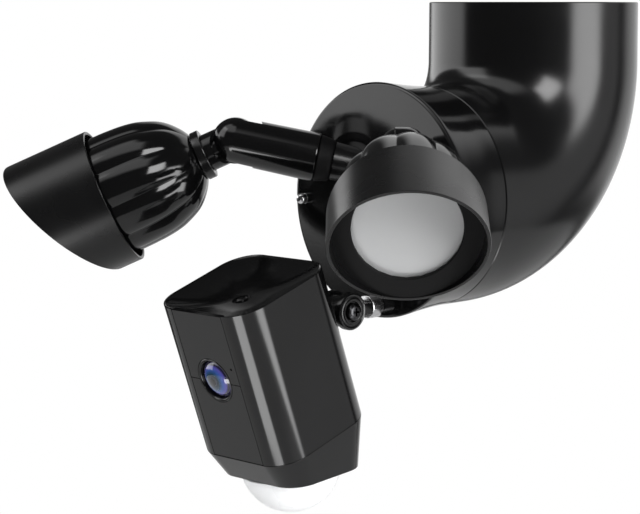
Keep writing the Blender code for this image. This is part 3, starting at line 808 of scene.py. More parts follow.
@dataclass
class FaceCover:
    """The round front cover and its two screws."""

    rim: float = 0.0620
    steps: int = 192
    body: str = "elbow"

    @property
    def facing(self) -> Matrix:
        """The frame on the cover's axis, its Z forward."""
        return frame_matrix((0, 0, AXIS_Z), (0, -1, 0), (1, 0, 0))

    def build_cover(self) -> None:
        """Turn the cover with an eased rim and a chamfer at the seam."""
        front = -FACE_Y
        back = -SEAM_Y + GAP
        profile = [(0, front), (0.0300, front), (self.rim - 0.0017, front)]
        profile += [(self.rim - 0.0010, front - 0.0001), (self.rim - 0.0004, front - 0.0004)]
        profile += [(self.rim - 0.0001, front - 0.0009), (self.rim, front - 0.0015)]
        profile += eased([(0.06185, front - 0.0030), (0.0608, front - 0.0120),
                          (0.0596, front - 0.0240), (0.0589, back + 0.0006)], 5)
        profile += [(0.0584, back), (0.0563, back), (0.0582, front - 0.0120)]
        profile += [(0.0585, front - 0.0030), (0, front - 0.0030)]
        cover = Blank.turned(profile, self.steps)
        cover.present("front_cover", Finishes.FACE, self.body, "face_cover", place=self.facing)

    def build_screw(self, side: Side) -> None:
        """Make one cover screw, which stands proud on its washer.

        Args:
            side: The cover's side that it is on.
        """
        spot = Matrix.Translation((side.value * 0.0545, 0, AXIS_Z - 0.0024))
        place = spot @ self.facing.to_3x3().to_4x4()
        foot = -FACE_Y + GAP
        profile = [(0, foot + 0.0047), (0.0016, foot + 0.0046), (0.0024, foot + 0.0041),
                   (0.0028, foot + 0.0034), (0.0029, foot + 0.0026), (0.0029, foot + 0.0011),
                   (0.0025, foot + 0.0009), (0.0025, foot + 0.0007), (0.0029, foot + 0.0006),
                   (0.0029, foot), (0.0016, foot), (0.0016, foot - 0.0090), (0, foot - 0.0090)]
        screw = Blank.turned(profile, 56).cut(*cross_recess(0.0030, 0.0007, 0.0012, foot + 0.0047))
        screw.refine(f"cover_screw_{side.label}", Finishes.STEEL, self.body, place)

    def build(self) -> None:
        """Build the cover and its screws."""
        self.build_cover()
        for side in Side:
            self.build_screw(side)


# ---------------------------------------------------------------- lamp arms

@dataclass
class LampArm:
    """One jointed arm from its socket on the cover to its tilt screw."""

    side: Side
    start: float = 0.0200
    radius: float = 0.0124
    split: float = 0.0046

    @property
    def root(self) -> Vector:
        """Where the arm leaves the cover."""
        return Vector((self.side.value * 0.0168, FACE_Y, -0.0860))

    @property
    def pivot(self) -> Vector:
        """The tilt pivot."""
        return Vector((self.side.value * 0.0617, -0.1675, -0.0728))

    @property
    def tilt_line(self) -> Vector:
        """The tilt axis, pointing to the lamp's inner side."""
        return Vector((-self.side.value * 0.698, -0.716, 0.0)).normalized()

    @property
    def place(self) -> Matrix:
        """The arm's frame at its root."""
        return frame_matrix(self.root, self.pivot - self.root, self.tilt_line)

    @property
    def length(self) -> float:
        """From root to pivot."""
        return (self.pivot - self.root).length

    def build_socket(self) -> None:
        """Turn the socket, cut it flush with the cover and add its locknut."""
        label = self.side.label
        profile = [(0.0034, 0.0117), (0.0098, 0.0117), (0.0102, 0.0113), (0.0100, 0.0060),
                   (0.0098, 0.0020), (0.0095, -0.0120), (0.0034, -0.0120)]
        socket = Blank.turned(profile, 72, closed=True).placed(self.place)
        socket.sliced((0, FACE_Y - GAP, 0), (0, 1, 0), bridge=True)
        socket.refine(f"arm_socket_{label}", Finishes.SATIN, "elbow")
        top = self.start - GAP
        nut = [(0.0052, 0.0120), (0.0104, 0.0120), (0.0109, 0.0125), (0.0114, 0.0140),
               (0.0122, 0.0180), (0.0124, top - 0.0005), (0.0120, top), (0.0052, top)]
        collar = Blank.turned(nut, 72, closed=True)
        collar.refine(f"arm_locknut_{label}", Finishes.MATT, "elbow", self.place)

    def build_arm(self) -> None:
        """Make the arm, its domed end lapped for the lamp's ear."""
        label = self.side.label
        length = self.length
        profile = [(0, self.start), (0.0122, self.start), (0.0128, self.start + 0.0003),
                   (0.0130, self.start + 0.0010)]
        profile += [(self.radius * math.cos(math.radians(turn)),
                     length + self.radius * math.sin(math.radians(turn))) for turn in range(0, 90, 5)]
        profile.append((0, length + self.radius))
        arm = Blank.turned(profile, 96)
        arm.join(Blank.rod(0.0030, 0.0080, self.start + 0.004, steps=32))
        half = Blank.rod(0.0170, -0.03, self.split, Axis.X, (0, 0, length), 96)
        arm.cut(half, Blank.rod(0.0027, -0.03, 0.0092, Axis.X, (0, 0, length), 32))
        arm.refine(f"arm_{label}", Finishes.GLOSS, f"arm_{label}", self.place)

    def build_tilt_screw(self) -> None:
        """Turn the tilt screw with its round head and grip post."""
        label = self.side.label
        across = frame_matrix(self.pivot, -self.tilt_line, (0, 0, 1))
        profile = [(0, 0.0228), (0.0014, 0.0227), (0.0021, 0.0224), (0.0024, 0.0219), (0.0024, 0.0161),
                   (0.0044, 0.0159), (0.0050, 0.0155), (0.0052, 0.0149), (0.0052, 0.0124),
                   (0.0048, 0.0118), (0.0023, 0.0115), (0.0023, -0.0088), (0, -0.0088)]
        screw = Blank.turned(profile, 56)
        screw.refine(f"tilt_screw_{label}", Finishes.DARK_STEEL, f"arm_{label}", across)

    def build(self) -> None:
        """Build the arm and what holds it."""
        self.build_socket()
        self.build_arm()
        self.build_tilt_screw()


# ---------------------------------------------------------------- lamps

@dataclass
class Lamp:
    """One lamp from its knuckle to its hood."""

    arm: LampArm
    axis: tuple[float, float, float]
    roll: float
    lobes: int = 10
    lobe_phase: float = 45.0
    lobe_depth: float = 0.0019
    hood_radius: float = 0.03705
    hood_wall: float = 0.0017
    hood_back: float = 0.0712
    hood_mouth: float = 0.1004
    hood_slant: float = 0.0179
    bezel_back: float = 0.0810
    bezel_front: float = 0.0828
    bezel_hole: float = 0.0257

    @property
    def label(self) -> str:
        """The side's word."""
        return self.arm.side.label

    @property
    def body(self) -> str:
        """The body that the bell and its hood ride on."""
        return f"lamp_{self.label}"

    @property
    def place(self) -> Matrix:
        """The lamp's frame at its pivot, its X on the tilt axis."""
        return frame_matrix(self.arm.pivot, self.axis, self.arm.tilt_line)

    def build_knuckle(self) -> None:
        """Make the ear on the tilt screw, the neck and the nut."""
        ear = self.arm.split - GAP
        dome = eased([(0.0122, 0.0005), (0.0121, -0.0020), (0.0117, -0.0045), (0.0108, -0.0067),
                      (0.0093, -0.0085), (0.0072, -0.0099), (0.0046, -0.0107), (0.0020, -0.01098)], 3)
        knuckle = Blank.turned([(0, ear), (0.0117, ear), (0.0121, ear - 0.0002),
                                (0.0122, ear - 0.0006), *dome, (0, -0.0110)], 96)
        knuckle.placed(Axis.X.turn)
        neck = Blank.rod(0.0100, 0.0007, 0.0180, steps=80).cut(
            Blank.rod(0.0132, ear, 0.03, Axis.X, steps=96))
        knuckle.join(neck, Blank.rod(0.0070, 0.0100, 0.0290, steps=64))
        knuckle.cut(Blank.rod(0.0026, -0.03, 0.03, Axis.X, steps=32))
        knuckle.present(f"lamp_ear_{self.label}", Finishes.GLOSS, f"knuckle_{self.label}",
                        f"lamp_knuckle_{self.label}", place=self.place)
        nut = [(0.0103, 0.0165), (0.0126, 0.0165), (0.0131, 0.0167), (0.0133, 0.0171),
               (0.0133, 0.0207), (0.0131, 0.0211), (0.0126, 0.0213), (0.0073, 0.0213),
               (0.0073, 0.0183), (0.0103, 0.0183)]
        ring = Blank.turned(nut, 96, closed=True)
        ring.present(f"neck_ring_{self.label}", Finishes.SATIN, f"knuckle_{self.label}",
                     f"neck_nut_{self.label}", place=self.place)

    def build_bell(self) -> None:
        """Turn the bell and press its petals, with creases between them."""
        curve = eased([(0.0122, 0.0217), (0.0138, 0.0222), (0.0180, 0.0248), (0.0226, 0.0288),
                       (0.0260, 0.0332), (0.0286, 0.0387), (0.0308, 0.0450), (0.0321, 0.0530),
                       (0.0327, 0.0626), (0.0328, 0.0700), (0.0328, 0.0807)], 5)
        inner = eased([(0.0300, 0.0807), (0.0290, 0.0600), (0.0240, 0.0430), (0.0150, 0.0330),
                       (0.0073, 0.0300), (0.0073, 0.0217)], 3)
        bell = Blank.turned(curve + inner, 320, closed=True)
        pitch = math.tau / self.lobes
        phase = math.radians(self.lobe_phase)
        outer = {(round(radius, 6), round(height, 6)) for radius, height in curve}
        for vert in bell.work.verts:
            radius = math.hypot(vert.co.x, vert.co.y)
            if (round(radius, 6), round(vert.co.z, 6)) not in outer:
                continue
            turn = (math.atan2(vert.co.y, vert.co.x) - phase) / pitch
            off = abs(turn - round(turn)) * 2
            swell = min(1.0, max(0.0, (vert.co.z - 0.0216) / 0.020)) ** 0.7
            press = self.lobe_depth * swell * off ** 2.2
            vert.co.x *= (radius - press) / radius
            vert.co.y *= (radius - press) / radius
        bmesh.ops.recalc_face_normals(bell.work, faces=bell.work.faces[:])
        bell.refine(f"lamp_bell_{self.label}", Finishes.GLOSS, self.body, self.place, sharp=60.0)

    def build_light(self) -> None:
        """Turn the frosted lens and dress the light source behind it."""
        lens = [(0, 0.0796), (0.0200, 0.07958), (0.0280, 0.0795), (0.0291, 0.0793), (0.0294, 0.0788),
                (0.0294, 0.0777), (0, 0.0777)]
        Blank.turned(lens, 128).refine(f"lamp_lens_{self.label}", Finishes.FROSTED, self.body,
                                       self.place)
        dress(Finishes.BOARD, f"led_board_{self.label}")
        dress(Finishes.TIN, f"reflector_{self.label}")
        dress(Finishes.RUBBER, f"lens_seal_{self.label}")

    def build_hood(self) -> None:
        """Turn the hood, slice its slanted mouth, and set the bezel in it."""
        axis = Vector(self.axis).normalized()
        up = (Vector((0, 0, 1)) - axis * axis.z).normalized()
        rolled = up * math.cos(self.roll) + axis.cross(up) * math.sin(self.roll)
        spot = frame_matrix(self.arm.pivot, axis, rolled)
        inside = self.hood_radius - self.hood_wall
        far = 0.1250
        wall = [(self.hood_radius, far), (self.hood_radius, self.hood_back + 0.0004),
                (self.hood_radius - 0.0002, self.hood_back + 0.0001),
                (self.hood_radius - 0.0005, self.hood_back),
                (inside + 0.0004, self.hood_back), (inside, self.hood_back + 0.0004), (inside, far)]
        lean = math.atan2(self.hood_slant, self.hood_radius)
        hood = Blank.turned(wall, 160, closed=True)
        hood.sliced((0, 0, self.hood_mouth), (-math.sin(lean), 0, math.cos(lean)), bridge=True)
        hood.softened(0.00035, 2, 60.0)
        hood.refine(f"lamp_hood_{self.label}", Finishes.HOOD, self.body, spot)
        edge = self.bezel_front
        bezel = [(inside, self.bezel_back), (self.bezel_hole + 0.0003, self.bezel_back),
                 (self.bezel_hole, self.bezel_back + 0.0003), (self.bezel_hole, edge - 0.0004),
                 (self.bezel_hole + 0.0004, edge), (inside, edge)]
        Blank.turned(bezel, 128, closed=True).present(
            f"lamp_bezel_{self.label}", Finishes.MATT, self.body, place=spot)

    def build(self) -> None:
        """Build the lamp."""
        self.build_knuckle()
        self.build_bell()
        self.build_light()
        self.build_hood()


# ---------------------------------------------------------------- camera

@dataclass
class CameraMount:
    """The foot on the cover, the swivelling yoke and the camera's stem."""

    pivot: tuple[float, float, float] = CAMERA_PIVOT
    cheek: float = 0.0098

    @property
    def facing(self) -> Matrix:
        """The frame on the cover's face, its Z forward."""
        return frame_matrix((0, FACE_Y, self.pivot[2]), (0, -1, 0), (1, 0, 0))

    @property
    def place(self) -> Matrix:
        """The camera's frame at its tilt pivot."""
        return CAMERA_PLACE

    def build_foot(self) -> None:
        """Turn the foot on the cover."""
        profile = [(0.0019, 0.0080), (0.0055, 0.0080), (0.0059, 0.0078), (0.0062, 0.0072),
                   (0.0062, 0.0009), (0.0062, GAP), (0.0019, GAP)]
        foot = Blank.turned(profile, 64, closed=True)
        foot.refine("camera_foot", Finishes.STEEL, "elbow", self.facing)

    def build_yoke(self) -> None:
        """Make the yoke's two round cheeks with their stepped rings."""
        reach = FACE_Y - self.pivot[1]
        across = Axis.X.turn
        face = [(0, 0.0078), (0.0050, 0.0078), (0.0053, 0.0081), (0.0053, 0.0088), (0.0056, 0.0090),
                (0.0066, 0.0090), (0.0068, 0.0087), (0.0068, 0.0083), (0.0071, 0.0081),
                (0.0078, 0.0081), (0.0081, 0.0084), (0.0088, 0.0086), (0.0094, 0.0082),
                (self.cheek, 0.0076), (self.cheek, 0.0)]
        mirrored = [(radius, -height) for radius, height in reversed(face[:-1])]
        cheeks = Blank.turned(face[:-1] + mirrored, 96).placed(across)
        cheeks.placed(Matrix.Translation((0, 0, reach)))
        neck = Blank.block((0.0170, 0.0064, 0.0080), (0, 0, 0.0142)).softened(0.0010, 3)
        cheeks.join(neck)
        slot = Blank.block((0.0096, 0.04, 0.0246), (0, 0, 0.0287))
        cheeks.cut(slot, Blank.rod(0.0024, -0.03, 0.03, Axis.X, (0, 0, reach), 32))
        cheeks.join(Blank.rod(0.0016, -0.0060, 0.0110, steps=24))
        cheeks.present("camera_yoke", Finishes.SATIN, "camera_arm", "camera_arm", place=self.facing)

    def build_screw(self) -> None:
        """Turn the tilt screw with its cross recess, and its nut."""
        across = frame_matrix(self.pivot, (1, 0, 0), (0, 0, 1))
        profile = [(0, 0.0112), (0.0026, 0.0112), (0.0036, 0.0109), (0.0044, 0.0103), (0.0046, 0.0096),
                   (0.0046, 0.0086), (0.0021, 0.0086), (0.0021, -0.0120), (0, -0.0120)]
        screw = Blank.turned(profile, 64).cut(*cross_recess(0.0044, 0.0012, 0.0018, 0.0112))
        screw.refine("knuckle_screw", Finishes.DARK_STEEL, "camera_arm", across)
        nut = Blank.rod(0.0046, -0.0128, -0.0093, steps=6).softened(0.0003)
        nut.cut(Blank.rod(0.0028, -0.02, 0.0, steps=32))
        nut.refine("knuckle_nut", Finishes.DARK_STEEL, "camera_arm", across)

    def build_stem(self) -> None:
        """Make the camera's own eye, rod and pad."""
        back = BODY_TOP.y + BODY_DEPTH / 2 + GAP
        stem = Blank.rod(0.0085, -0.0045, 0.0045, Axis.X, steps=80).softened(0.0006, 3)
        rod = Blank.rod(0.0044, back + 0.001, 0.0, Axis.Y, steps=48)
        pad = Blank.rod(0.0120, back, back + 0.0035, Axis.Y, steps=80).softened(0.0009, 3)
        stem.join(rod, pad).cut(Blank.rod(0.0024, -0.03, 0.03, Axis.X, steps=32),
                                Blank.rod(0.0017, back - 0.002, back + 0.0100, Axis.Y, steps=24))
        stem.refine("camera_stem", Finishes.SATIN, "camera", self.place)
        dress(Finishes.STEEL, "stem_screw")

    def build(self) -> None:
        """Build the mount."""
        self.build_foot()
        self.build_yoke()
        self.build_screw()
        self.build_stem()


@dataclass
class CameraHead:
    """The camera's body, its front panel, its lens and its button."""

    mount: CameraMount
    width: float = 0.0686
    depth: float = BODY_DEPTH
    height: float = 0.0818
    corner: float = 0.0163
    wall: float = 0.0022
    panel: float = 0.0366
    panel_wall: float = 0.0027
    lens_z: float = LENS_Z
    dish: float = 0.0066
    lens_hole: float = 0.0121
    button: tuple[float, float, float] = (0, -0.0030, 0)
    body: str = "camera"

    @property
    def place(self) -> Matrix:
        """The frame in the middle of the body's top edge."""
        return self.mount.place @ Matrix.Translation(BODY_TOP)

    @property
    def front(self) -> float:
        """The front face's place along local Y."""
        return -self.depth / 2

    def column(self, width: float, depth: float, corner: float, low: float, high: float) -> Blank:
        """Make a column with round corners.

        Args:
            width: Its full width.
            depth: Its full depth.
            corner: The radius of its upright edges.
            low: The height of its foot.
            high: The height of its top.

        Returns:
            The column.
        """
        blank = Blank.block((width, depth, high - low), (0, 0, (high + low) / 2))
        upright = [edge for edge in blank.work.edges
                   if abs(edge.verts[0].co.z - edge.verts[1].co.z) > 0.001]
        bmesh.ops.bevel(blank.work, geom=upright, offset=corner, affect="EDGES", segments=20,
                        profile=0.5, material=-1)
        return blank

    def scoop(self, housing: Blank) -> None:
        """Draw the top face inward ring by ring into a shallow bowl.

        Args:
            housing: The column, its top at height nought.
        """
        work = housing.work
        top = max(work.faces, key=lambda face: face.calc_center_median().z)
        rim = list(top.edges)
        bmesh.ops.delete(work, geom=[top], context="FACES_ONLY")
        shares = [0.985, 0.97] + [0.94 - 0.055 * step for step in range(17)]
        size, height = 1.0, 0.0
        for share in shares:
            made = bmesh.ops.extrude_edge_only(work, edges=rim)["geom"]
            verts = [part for part in made if isinstance(part, bmesh.types.BMVert)]
            rim = [part for part in made if isinstance(part, bmesh.types.BMEdge)
                   and part.verts[0] in verts and part.verts[1] in verts]
            level = -self.dish * (1 - share ** 2.4)
            if share > 0.98:
                level = 0.0
            bmesh.ops.scale(work, vec=(share / size, share / size, 1), verts=verts)
            bmesh.ops.translate(work, vec=(0, 0, level - height), verts=verts)
            size, height = share, level
        bmesh.ops.contextual_create(work, geom=rim)
        housing.welded()

    def build_housing(self) -> None:
        """Cut the hollow, the dished top, the panel's channel and the holes."""
        housing = self.column(self.width, self.depth, self.corner, -self.height, 0.0)
        self.scoop(housing)
        hollow = self.column(self.width - 2 * self.wall, self.depth - 2 * self.wall,
                             self.corner - self.wall, -0.10, -0.0125)
        channel = Blank.block((self.panel + 2 * GAP, 0.0060, 0.2), (0, self.front, 0))
        screw_hole = Blank.rod(0.0019, 0.0, 0.06, Axis.Y, (0, 0, -BODY_TOP.z), 32)
        button_hole = Blank.rod(0.0034, -0.03, 0.01, centre=self.button, steps=64)
        rebate = Blank.rod(0.0049, -0.0072, 0.01, centre=self.button, steps=64)
        housing.cut(hollow, channel, screw_hole, button_hole, rebate)
        housing.softened(0.00025, 2, 40.0)
        housing.present("camera_shell", Finishes.SHELL, self.body, "camera_housing",
                        place=self.place)

    def build_panel(self) -> None:
        """Make the panel in two halves that part beside the lens."""
        thick = self.panel_wall
        seam = self.lens_z - 0.0006
        halves = ((-0.0002, seam + 0.0001), (seam - 0.0001, -self.height + 0.0002))
        for index, (high, low) in enumerate(halves):
            half = Blank.block((self.panel, thick, high - low),
                               (0, self.front + thick / 2, (high + low) / 2)).softened(0.0002, 2)
            tools = [Blank.rod(self.lens_hole, -0.05, 0.0, Axis.Y, (0, 0, self.lens_z), 128)]
            if index == 0:
                tools.append(Blank.rod(0.0007, -0.05, 0.0, Axis.Y, (0.0150, 0, -0.0290), 32))
            half.cut(*tools)
            half.present(("panel_upper", "panel_lower")[index], Finishes.FACE, self.body,
                         "front_panel", place=self.place)

    def build_lens(self) -> None:
        """Turn the barrel's stepped rings and the coated glass."""
        sight = (self.place @ Matrix.Translation((0, 0, self.lens_z))
                 @ Matrix.Rotation(math.pi / 2, 4, "X"))
        face = self.depth / 2
        barrel = [(0.0101, face - 0.0040), (0.0101, face - 0.0018), (0.0103, face - 0.0014),
                  (0.0105, face - 0.0005), (0.0108, face - 0.0003), (0.0110, face + 0.0001),
                  (0.0112, face + 0.0002), (0.0116, face + 0.0002), (0.0118, face),
                  (0.0118, 0.0205), (0.0101, 0.0205)]
        Blank.turned(barrel, 128, closed=True).present(
            "lens_ring", Finishes.GLOSS, self.body, "lens_barrel", place=sight)
        glass = [(0, face + 0.0016), (0.0026, face + 0.0014), (0.0050, face + 0.0009),
                 (0.0070, face + 0.0001), (0.0087, face - 0.0010), (0.0099, face - 0.0020),
                 (0.0099, face - 0.0042), (0, face - 0.0042)]
        Blank.turned(eased(glass[:6], 4) + glass[6:], 96).present(
            "lens_front_glass", Finishes.PUPIL, self.body, "lens_glass", place=sight)

    def build_button(self) -> None:
        """Turn the button's cap with its dished top."""
        cap = [(0, -0.0065), (0.0015, -0.0064), (0.0023, -0.0062), (0.0028, -0.0064),
               (0.0031, -0.0070), (0.0031, -0.0128), (0.0044, -0.0128), (0.0044, -0.0140),
               (0, -0.0140)]
        Blank.turned(cap, 64).present("button_cap", Finishes.GLOSS, "button", "setup_button",
                                      place=self.place @ Matrix.Translation(self.button))

    def build(self) -> None:
        """Build the body and dress what it holds."""
        self.build_housing()
        self.build_panel()
        self.build_lens()
        self.build_button()
        dress(Finishes.BOARD, "main_board", "switch_board", "sensor_board")
        dress(Finishes.MATT, "camera_module", "speaker")
        dress(Finishes.STEEL, "tact_switch", "motion_sensor")


@dataclass
class CameraBase:
    """The tapered skirt and the motion sensor's dome."""

    head: CameraHead
    drop: float = 0.0222
    slope: float = 0.24
    dome_radius: float = 0.0259
    dome_neck: float = 0.0232
    dome_wall: float = 0.0032
    dome_spot: tuple[float, float, float] = (0.0, -0.0013, -0.0993)

    def tapered(self, corner: tuple[float, float], sides: tuple[float, float],
                front: tuple[float, float], back: tuple[float, float], drop: float,
                rise: float) -> Blank:
        """Make a column with round corners that narrows and leans below.

        Args:
            corner: The corner radius above and below.
            sides: How far the sides stand in from the body's, above and below.
            front: The same for the front.
            back: The same for the back.
            drop: How far the lower end is below the body's.
            rise: How far the upper end is above it.

        Returns:
            The tapered column.
        """
        head = self.head
        width = head.width - 2 * sides[0]
        depth = head.depth - front[0] - back[0]
        shift = (front[0] - back[0]) / 2
        blank = head.column(width, depth, corner[0], -head.height - drop, -head.height + rise)
        blank.placed(Matrix.Translation((0, shift, 0)))
        low = [vert for vert in blank.work.verts if vert.co.z < -head.height - drop / 2]
        narrow = head.width - 2 * sides[1]
        shallow = head.depth - front[1] - back[1]
        lowered = (front[1] - back[1]) / 2
        for vert in low:
            side = math.copysign(1, vert.co.x)
            fore = math.copysign(1, vert.co.y - shift)
            curl_x = (abs(vert.co.x) - (width / 2 - corner[0])) / corner[0]
            curl_y = (abs(vert.co.y - shift) - (depth / 2 - corner[0])) / corner[0]
            vert.co.x = side * (narrow / 2 - corner[1] + corner[1] * curl_x)
            vert.co.y = lowered + fore * (shallow / 2 - corner[1] + corner[1] * curl_y)
            vert.co.z -= self.slope * vert.co.y
        return blank

    def build_skirt(self) -> None:
        """Taper the skirt and open it for the dome."""
        wall = self.head.wall
        corner = self.head.corner
        skirt = self.tapered((corner, 0.0130), (0, 0.0047), (0, 0.0059), (0, 0.0090), self.drop, -GAP)
        hollow = self.tapered((corner - wall, 0.0110), (wall, 0.0062), (wall, 0.0067),
                              (wall, 0.0092), self.drop - 0.0022, 0.001)
        opening = Blank.rod(self.dome_neck + GAP, -0.13, -0.09, centre=(0, self.dome_spot[1], 0),
                            steps=96)
        skirt.cut(hollow, opening).softened(0.0003, 2, 25.0)
        skirt.present("camera_skirt", Finishes.SHELL, self.head.body, "base_skirt",
                      place=self.head.place)

    def build_dome(self) -> None:
        """Cut a ball along the skirt's lean and hollow it."""
        spot = self.head.place @ Matrix.Translation(self.dome_spot)
        lean = math.atan(self.slope)
        brim = -self.head.height - self.drop - 0.0004 - self.dome_spot[2]
        middle = self.slope * self.dome_spot[1]
        dome = Blank.ball(self.dome_radius, 128, 64)
        dome.sliced((0, 0, brim - middle), (0, math.sin(lean), math.cos(lean)))
        dome.softened(0.0003, 2, 50.0)
        dome.join(Blank.rod(self.dome_neck, -0.0080, 0.0005, steps=96))
        dome.cut(Blank.ball(self.dome_radius - self.dome_wall),
                 Blank.rod(self.dome_neck - self.dome_wall / 2, -0.0100, 0.0100, steps=96))
        dome.present("motion_dome", Finishes.MILKY, self.head.body, "sensor_dome", place=spot)

    def build(self) -> None:
        """Build the base."""
        self.build_skirt()
        self.build_dome()


# ---------------------------------------------------------------- studio

@dataclass(frozen=True)
class Panel:
    """One soft panel in the surround.

    Its bearing is in degrees to the right of the camera, with half its width
    and the fade of its sides, and its lower and upper edge are in degrees above
    the horizon, with their fade.
    """

    turn: float
    half: float
    feather: float
    low: float
    high: float
    fade: float
    strength: float

    def edge(self, tree: bpy.types.NodeTree, value: bpy.types.NodeSocket, dark: float,
             full: float) -> bpy.types.NodeSocket:
        """Return a smooth step from nought to one.

        Args:
            tree: The world's tree.
            value: What is measured.
            dark: The value at which the step starts.
            full: The value at which it ends.

        Returns:
            The step's socket.
        """
        step = shader_node(tree, "ShaderNodeMapRange", {
            "Value": value, "From Min": dark, "From Max": full}, interpolation_type="SMOOTHSTEP")
        return step.outputs["Result"]

    def light(self, tree: bpy.types.NodeTree, direction: bpy.types.NodeSocket,
              yaw: float) -> bpy.types.NodeSocket:
        """Return the panel's light.

        Args:
            tree: The world's tree.
            direction: The direction looked in.
            yaw: The camera's bearing.

        Returns:
            The brightness socket.
        """
        bearing = math.radians(self.turn) - math.pi / 2 + yaw
        centre = (math.cos(bearing), math.sin(bearing), 0.0)
        flat = shader_node(tree, "ShaderNodeVectorMath", {0: direction, 1: (1, 1, 0)},
                           operation="MULTIPLY").outputs["Vector"]
        level = shader_node(tree, "ShaderNodeVectorMath", {0: flat}, operation="NORMALIZE")
        near = shader_node(tree, "ShaderNodeVectorMath", {0: level.outputs["Vector"], 1: centre},
                           operation="DOT_PRODUCT").outputs["Value"]
        height = shader_node(tree, "ShaderNodeSeparateXYZ", {0: direction}).outputs["Z"]
        across = self.edge(tree, near, math.cos(math.radians(self.half + self.feather)),
                           math.cos(math.radians(self.half)))
        rise = self.edge(tree, height, math.sin(math.radians(self.low - self.fade)),
                         math.sin(math.radians(self.low)))
        fall = self.edge(tree, height, math.sin(math.radians(self.high + self.fade)),
                         math.sin(math.radians(self.high)))
        lit = self.strength
        for share in (across, rise, fall):
            lit = shader_node(tree, "ShaderNodeMath", {0: lit, 1: share},
                              operation="MULTIPLY").outputs["Value"]
        return lit


@dataclass(frozen=True)
class Card:
    """One soft card of light that faces the object from a bearing and a height in degrees."""

    turn: float
    rise: float
    size: tuple[float, float]
    glow: float

    def hang(self, label: str, yaw: float) -> None:
        """Hang the card.

        Args:
            label: Its name.
            yaw: The camera's bearing.
        """
        data = bpy.data.lights.new(label, "AREA")
        data.shape = "RECTANGLE"
        data.size, data.size_y = self.size
        data.energy = self.glow * math.pi * self.size[0] * self.size[1]
        card = bpy.data.objects.new(label, data)
        bpy.context.scene.collection.objects.link(card)
        bearing = math.radians(self.turn) - math.pi / 2 + yaw
        level = math.cos(math.radians(self.rise))
        toward = Vector((math.cos(bearing) * level, math.sin(bearing) * level,
                         math.sin(math.radians(self.rise))))
        spot = Vector(MIDDLE) + toward * CARD_REACH
        turn = toward.to_track_quat("Z", "Y").to_matrix().to_4x4()
        card.matrix_world = Matrix.Translation(spot) @ turn
        card.visible_camera = False


class Panels(Enum):
    """The panels of the surround."""

    STRIP = Panel(turn=55, half=10, feather=12, low=-20, high=12, fade=8, strength=6.6)
    STRIP_SPILL = Panel(turn=86, half=8, feather=12, low=-30, high=12, fade=8, strength=0.5)
    REAR_LEFT = Panel(turn=-122, half=31, feather=8, low=-4, high=16, fade=4, strength=1.9)
    REAR_RIGHT = Panel(turn=150, half=25, feather=18, low=-12, high=40, fade=8, strength=0.9)
    LEFT = Panel(turn=-80, half=13, feather=10, low=20, high=50, fade=8, strength=2.1)
    OVERHEAD = Panel(turn=-50, half=40, feather=25, low=50, high=72, fade=12, strength=1.2)
    KEY = Panel(turn=21, half=8, feather=6, low=17, high=36, fade=4, strength=9.0)


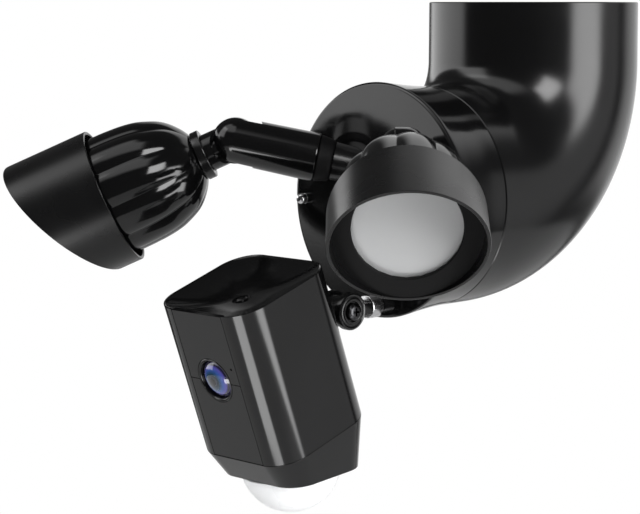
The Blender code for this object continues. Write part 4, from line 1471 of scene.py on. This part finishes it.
@dataclass
class Studio:
    """The camera, the floor and the soft light."""

    spot: tuple[float, float, float] = (0.782177, -0.910637, -0.001875)
    yaw: float = 0.8091
    pitch: float = -0.118
    lens: float = 119.376
    floor_z: float = -0.80
    floor_radius: float = 1.7
    floor_lift: float = 0.55
    shade: float = 0.07

    def place_camera(self) -> None:
        """Set up the camera."""
        data = bpy.data.cameras.new("studio_camera")
        data.lens = self.lens
        data.sensor_width = 36.0
        data.clip_end = 50.0
        camera = bpy.data.objects.new("studio_camera", data)
        bpy.context.scene.collection.objects.link(camera)
        level = math.cos(self.pitch)
        aim = Vector((-math.sin(self.yaw) * level, math.cos(self.yaw) * level, math.sin(self.pitch)))
        turn = aim.to_track_quat("-Z", "Y").to_matrix().to_4x4()
        camera.matrix_world = Matrix.Translation(self.spot) @ turn
        bpy.context.scene.camera = camera

    def lay_floor(self) -> None:
        """Lay a round pale floor."""
        blank = Blank()
        bmesh.ops.create_circle(blank.work, cap_ends=True, segments=96, radius=self.floor_radius)
        blank.placed(Matrix.Translation((MIDDLE[0], MIDDLE[1], self.floor_z)))
        mesh = bpy.data.meshes.new("studio_floor")
        blank.work.to_mesh(mesh)
        blank.work.free()
        material = bpy.data.materials.new("pale_floor")
        material.use_nodes = True
        tree = material.node_tree
        shader = tree.nodes["Principled BSDF"]
        shader.inputs["Base Color"].default_value = (0.86, 0.86, 0.86, 1.0)
        shader.inputs["Roughness"].default_value = 0.9
        shader.inputs["Specular IOR Level"].default_value = 0.1
        shader.inputs["Emission Color"].default_value = (1.0, 1.0, 1.0, 1.0)
        seen = shader_node(tree, "ShaderNodeLightPath").outputs["Is Camera Ray"]
        lift = shader_node(tree, "ShaderNodeMath", {0: seen, 1: self.floor_lift}, operation="MULTIPLY")
        tree.links.new(lift.outputs["Value"], shader.inputs["Emission Strength"])
        mesh.materials.append(material)
        floor = bpy.data.objects.new("studio_floor", mesh)
        bpy.context.scene.collection.objects.link(floor)

    def hang_lights(self) -> None:
        """Surround the object with soft panels, in a pale room for the camera."""
        world = bpy.data.worlds.new("studio_surround")
        world.use_nodes = True
        bpy.context.scene.world = world
        tree = world.node_tree
        sky = tree.nodes["Background"]
        direction = shader_node(tree, "ShaderNodeTexCoord").outputs["Generated"]
        lit = self.shade
        for panel in Panels:
            light = panel.value.light(tree, direction, self.yaw)
            lit = shader_node(tree, "ShaderNodeMath", {0: lit, 1: light}).outputs["Value"]
        seen = shader_node(tree, "ShaderNodeLightPath").outputs["Is Camera Ray"]
        shown = shader_node(tree, "ShaderNodeMix", {"Factor": seen, "A": lit, "B": 1.0},
                            data_type="FLOAT")
        tree.links.new(shown.outputs["Result"], sky.inputs["Strength"])
        sky.inputs["Color"].default_value = (1.0, 1.0, 1.0, 1.0)

    def build(self) -> None:
        """Set up the studio."""
        bpy.context.scene.view_settings.view_transform = "Standard"
        self.place_camera()
        self.lay_floor()
        self.hang_lights()
        Card(turn=-26, rise=-38, size=(0.42, 0.28), glow=6.0).hang("low_card_left", self.yaw)
        Card(turn=43, rise=-44, size=(0.28, 0.28), glow=3.6).hang("low_card_right", self.yaw)


def main() -> None:
    """Build every sub-assembly in order."""
    logging.basicConfig(level=logging.INFO, format="%(name)s %(message)s")
    Studio().build()
    Elbow().build()
    FaceCover().build()
    left = LampArm(Side.LEFT)
    right = LampArm(Side.RIGHT)
    for arm in (left, right):
        arm.build()
    Lamp(left, axis=(-0.653, -0.635, -0.412), roll=math.radians(-23.1)).build()
    Lamp(right, axis=(0.667, -0.651, -0.362), roll=math.radians(2.7)).build()
    mount = CameraMount()
    mount.build()
    head = CameraHead(mount)
    head.build()
    CameraBase(head).build()
    LOG.info("boxes written")


if __name__ == "__main__":
    main()
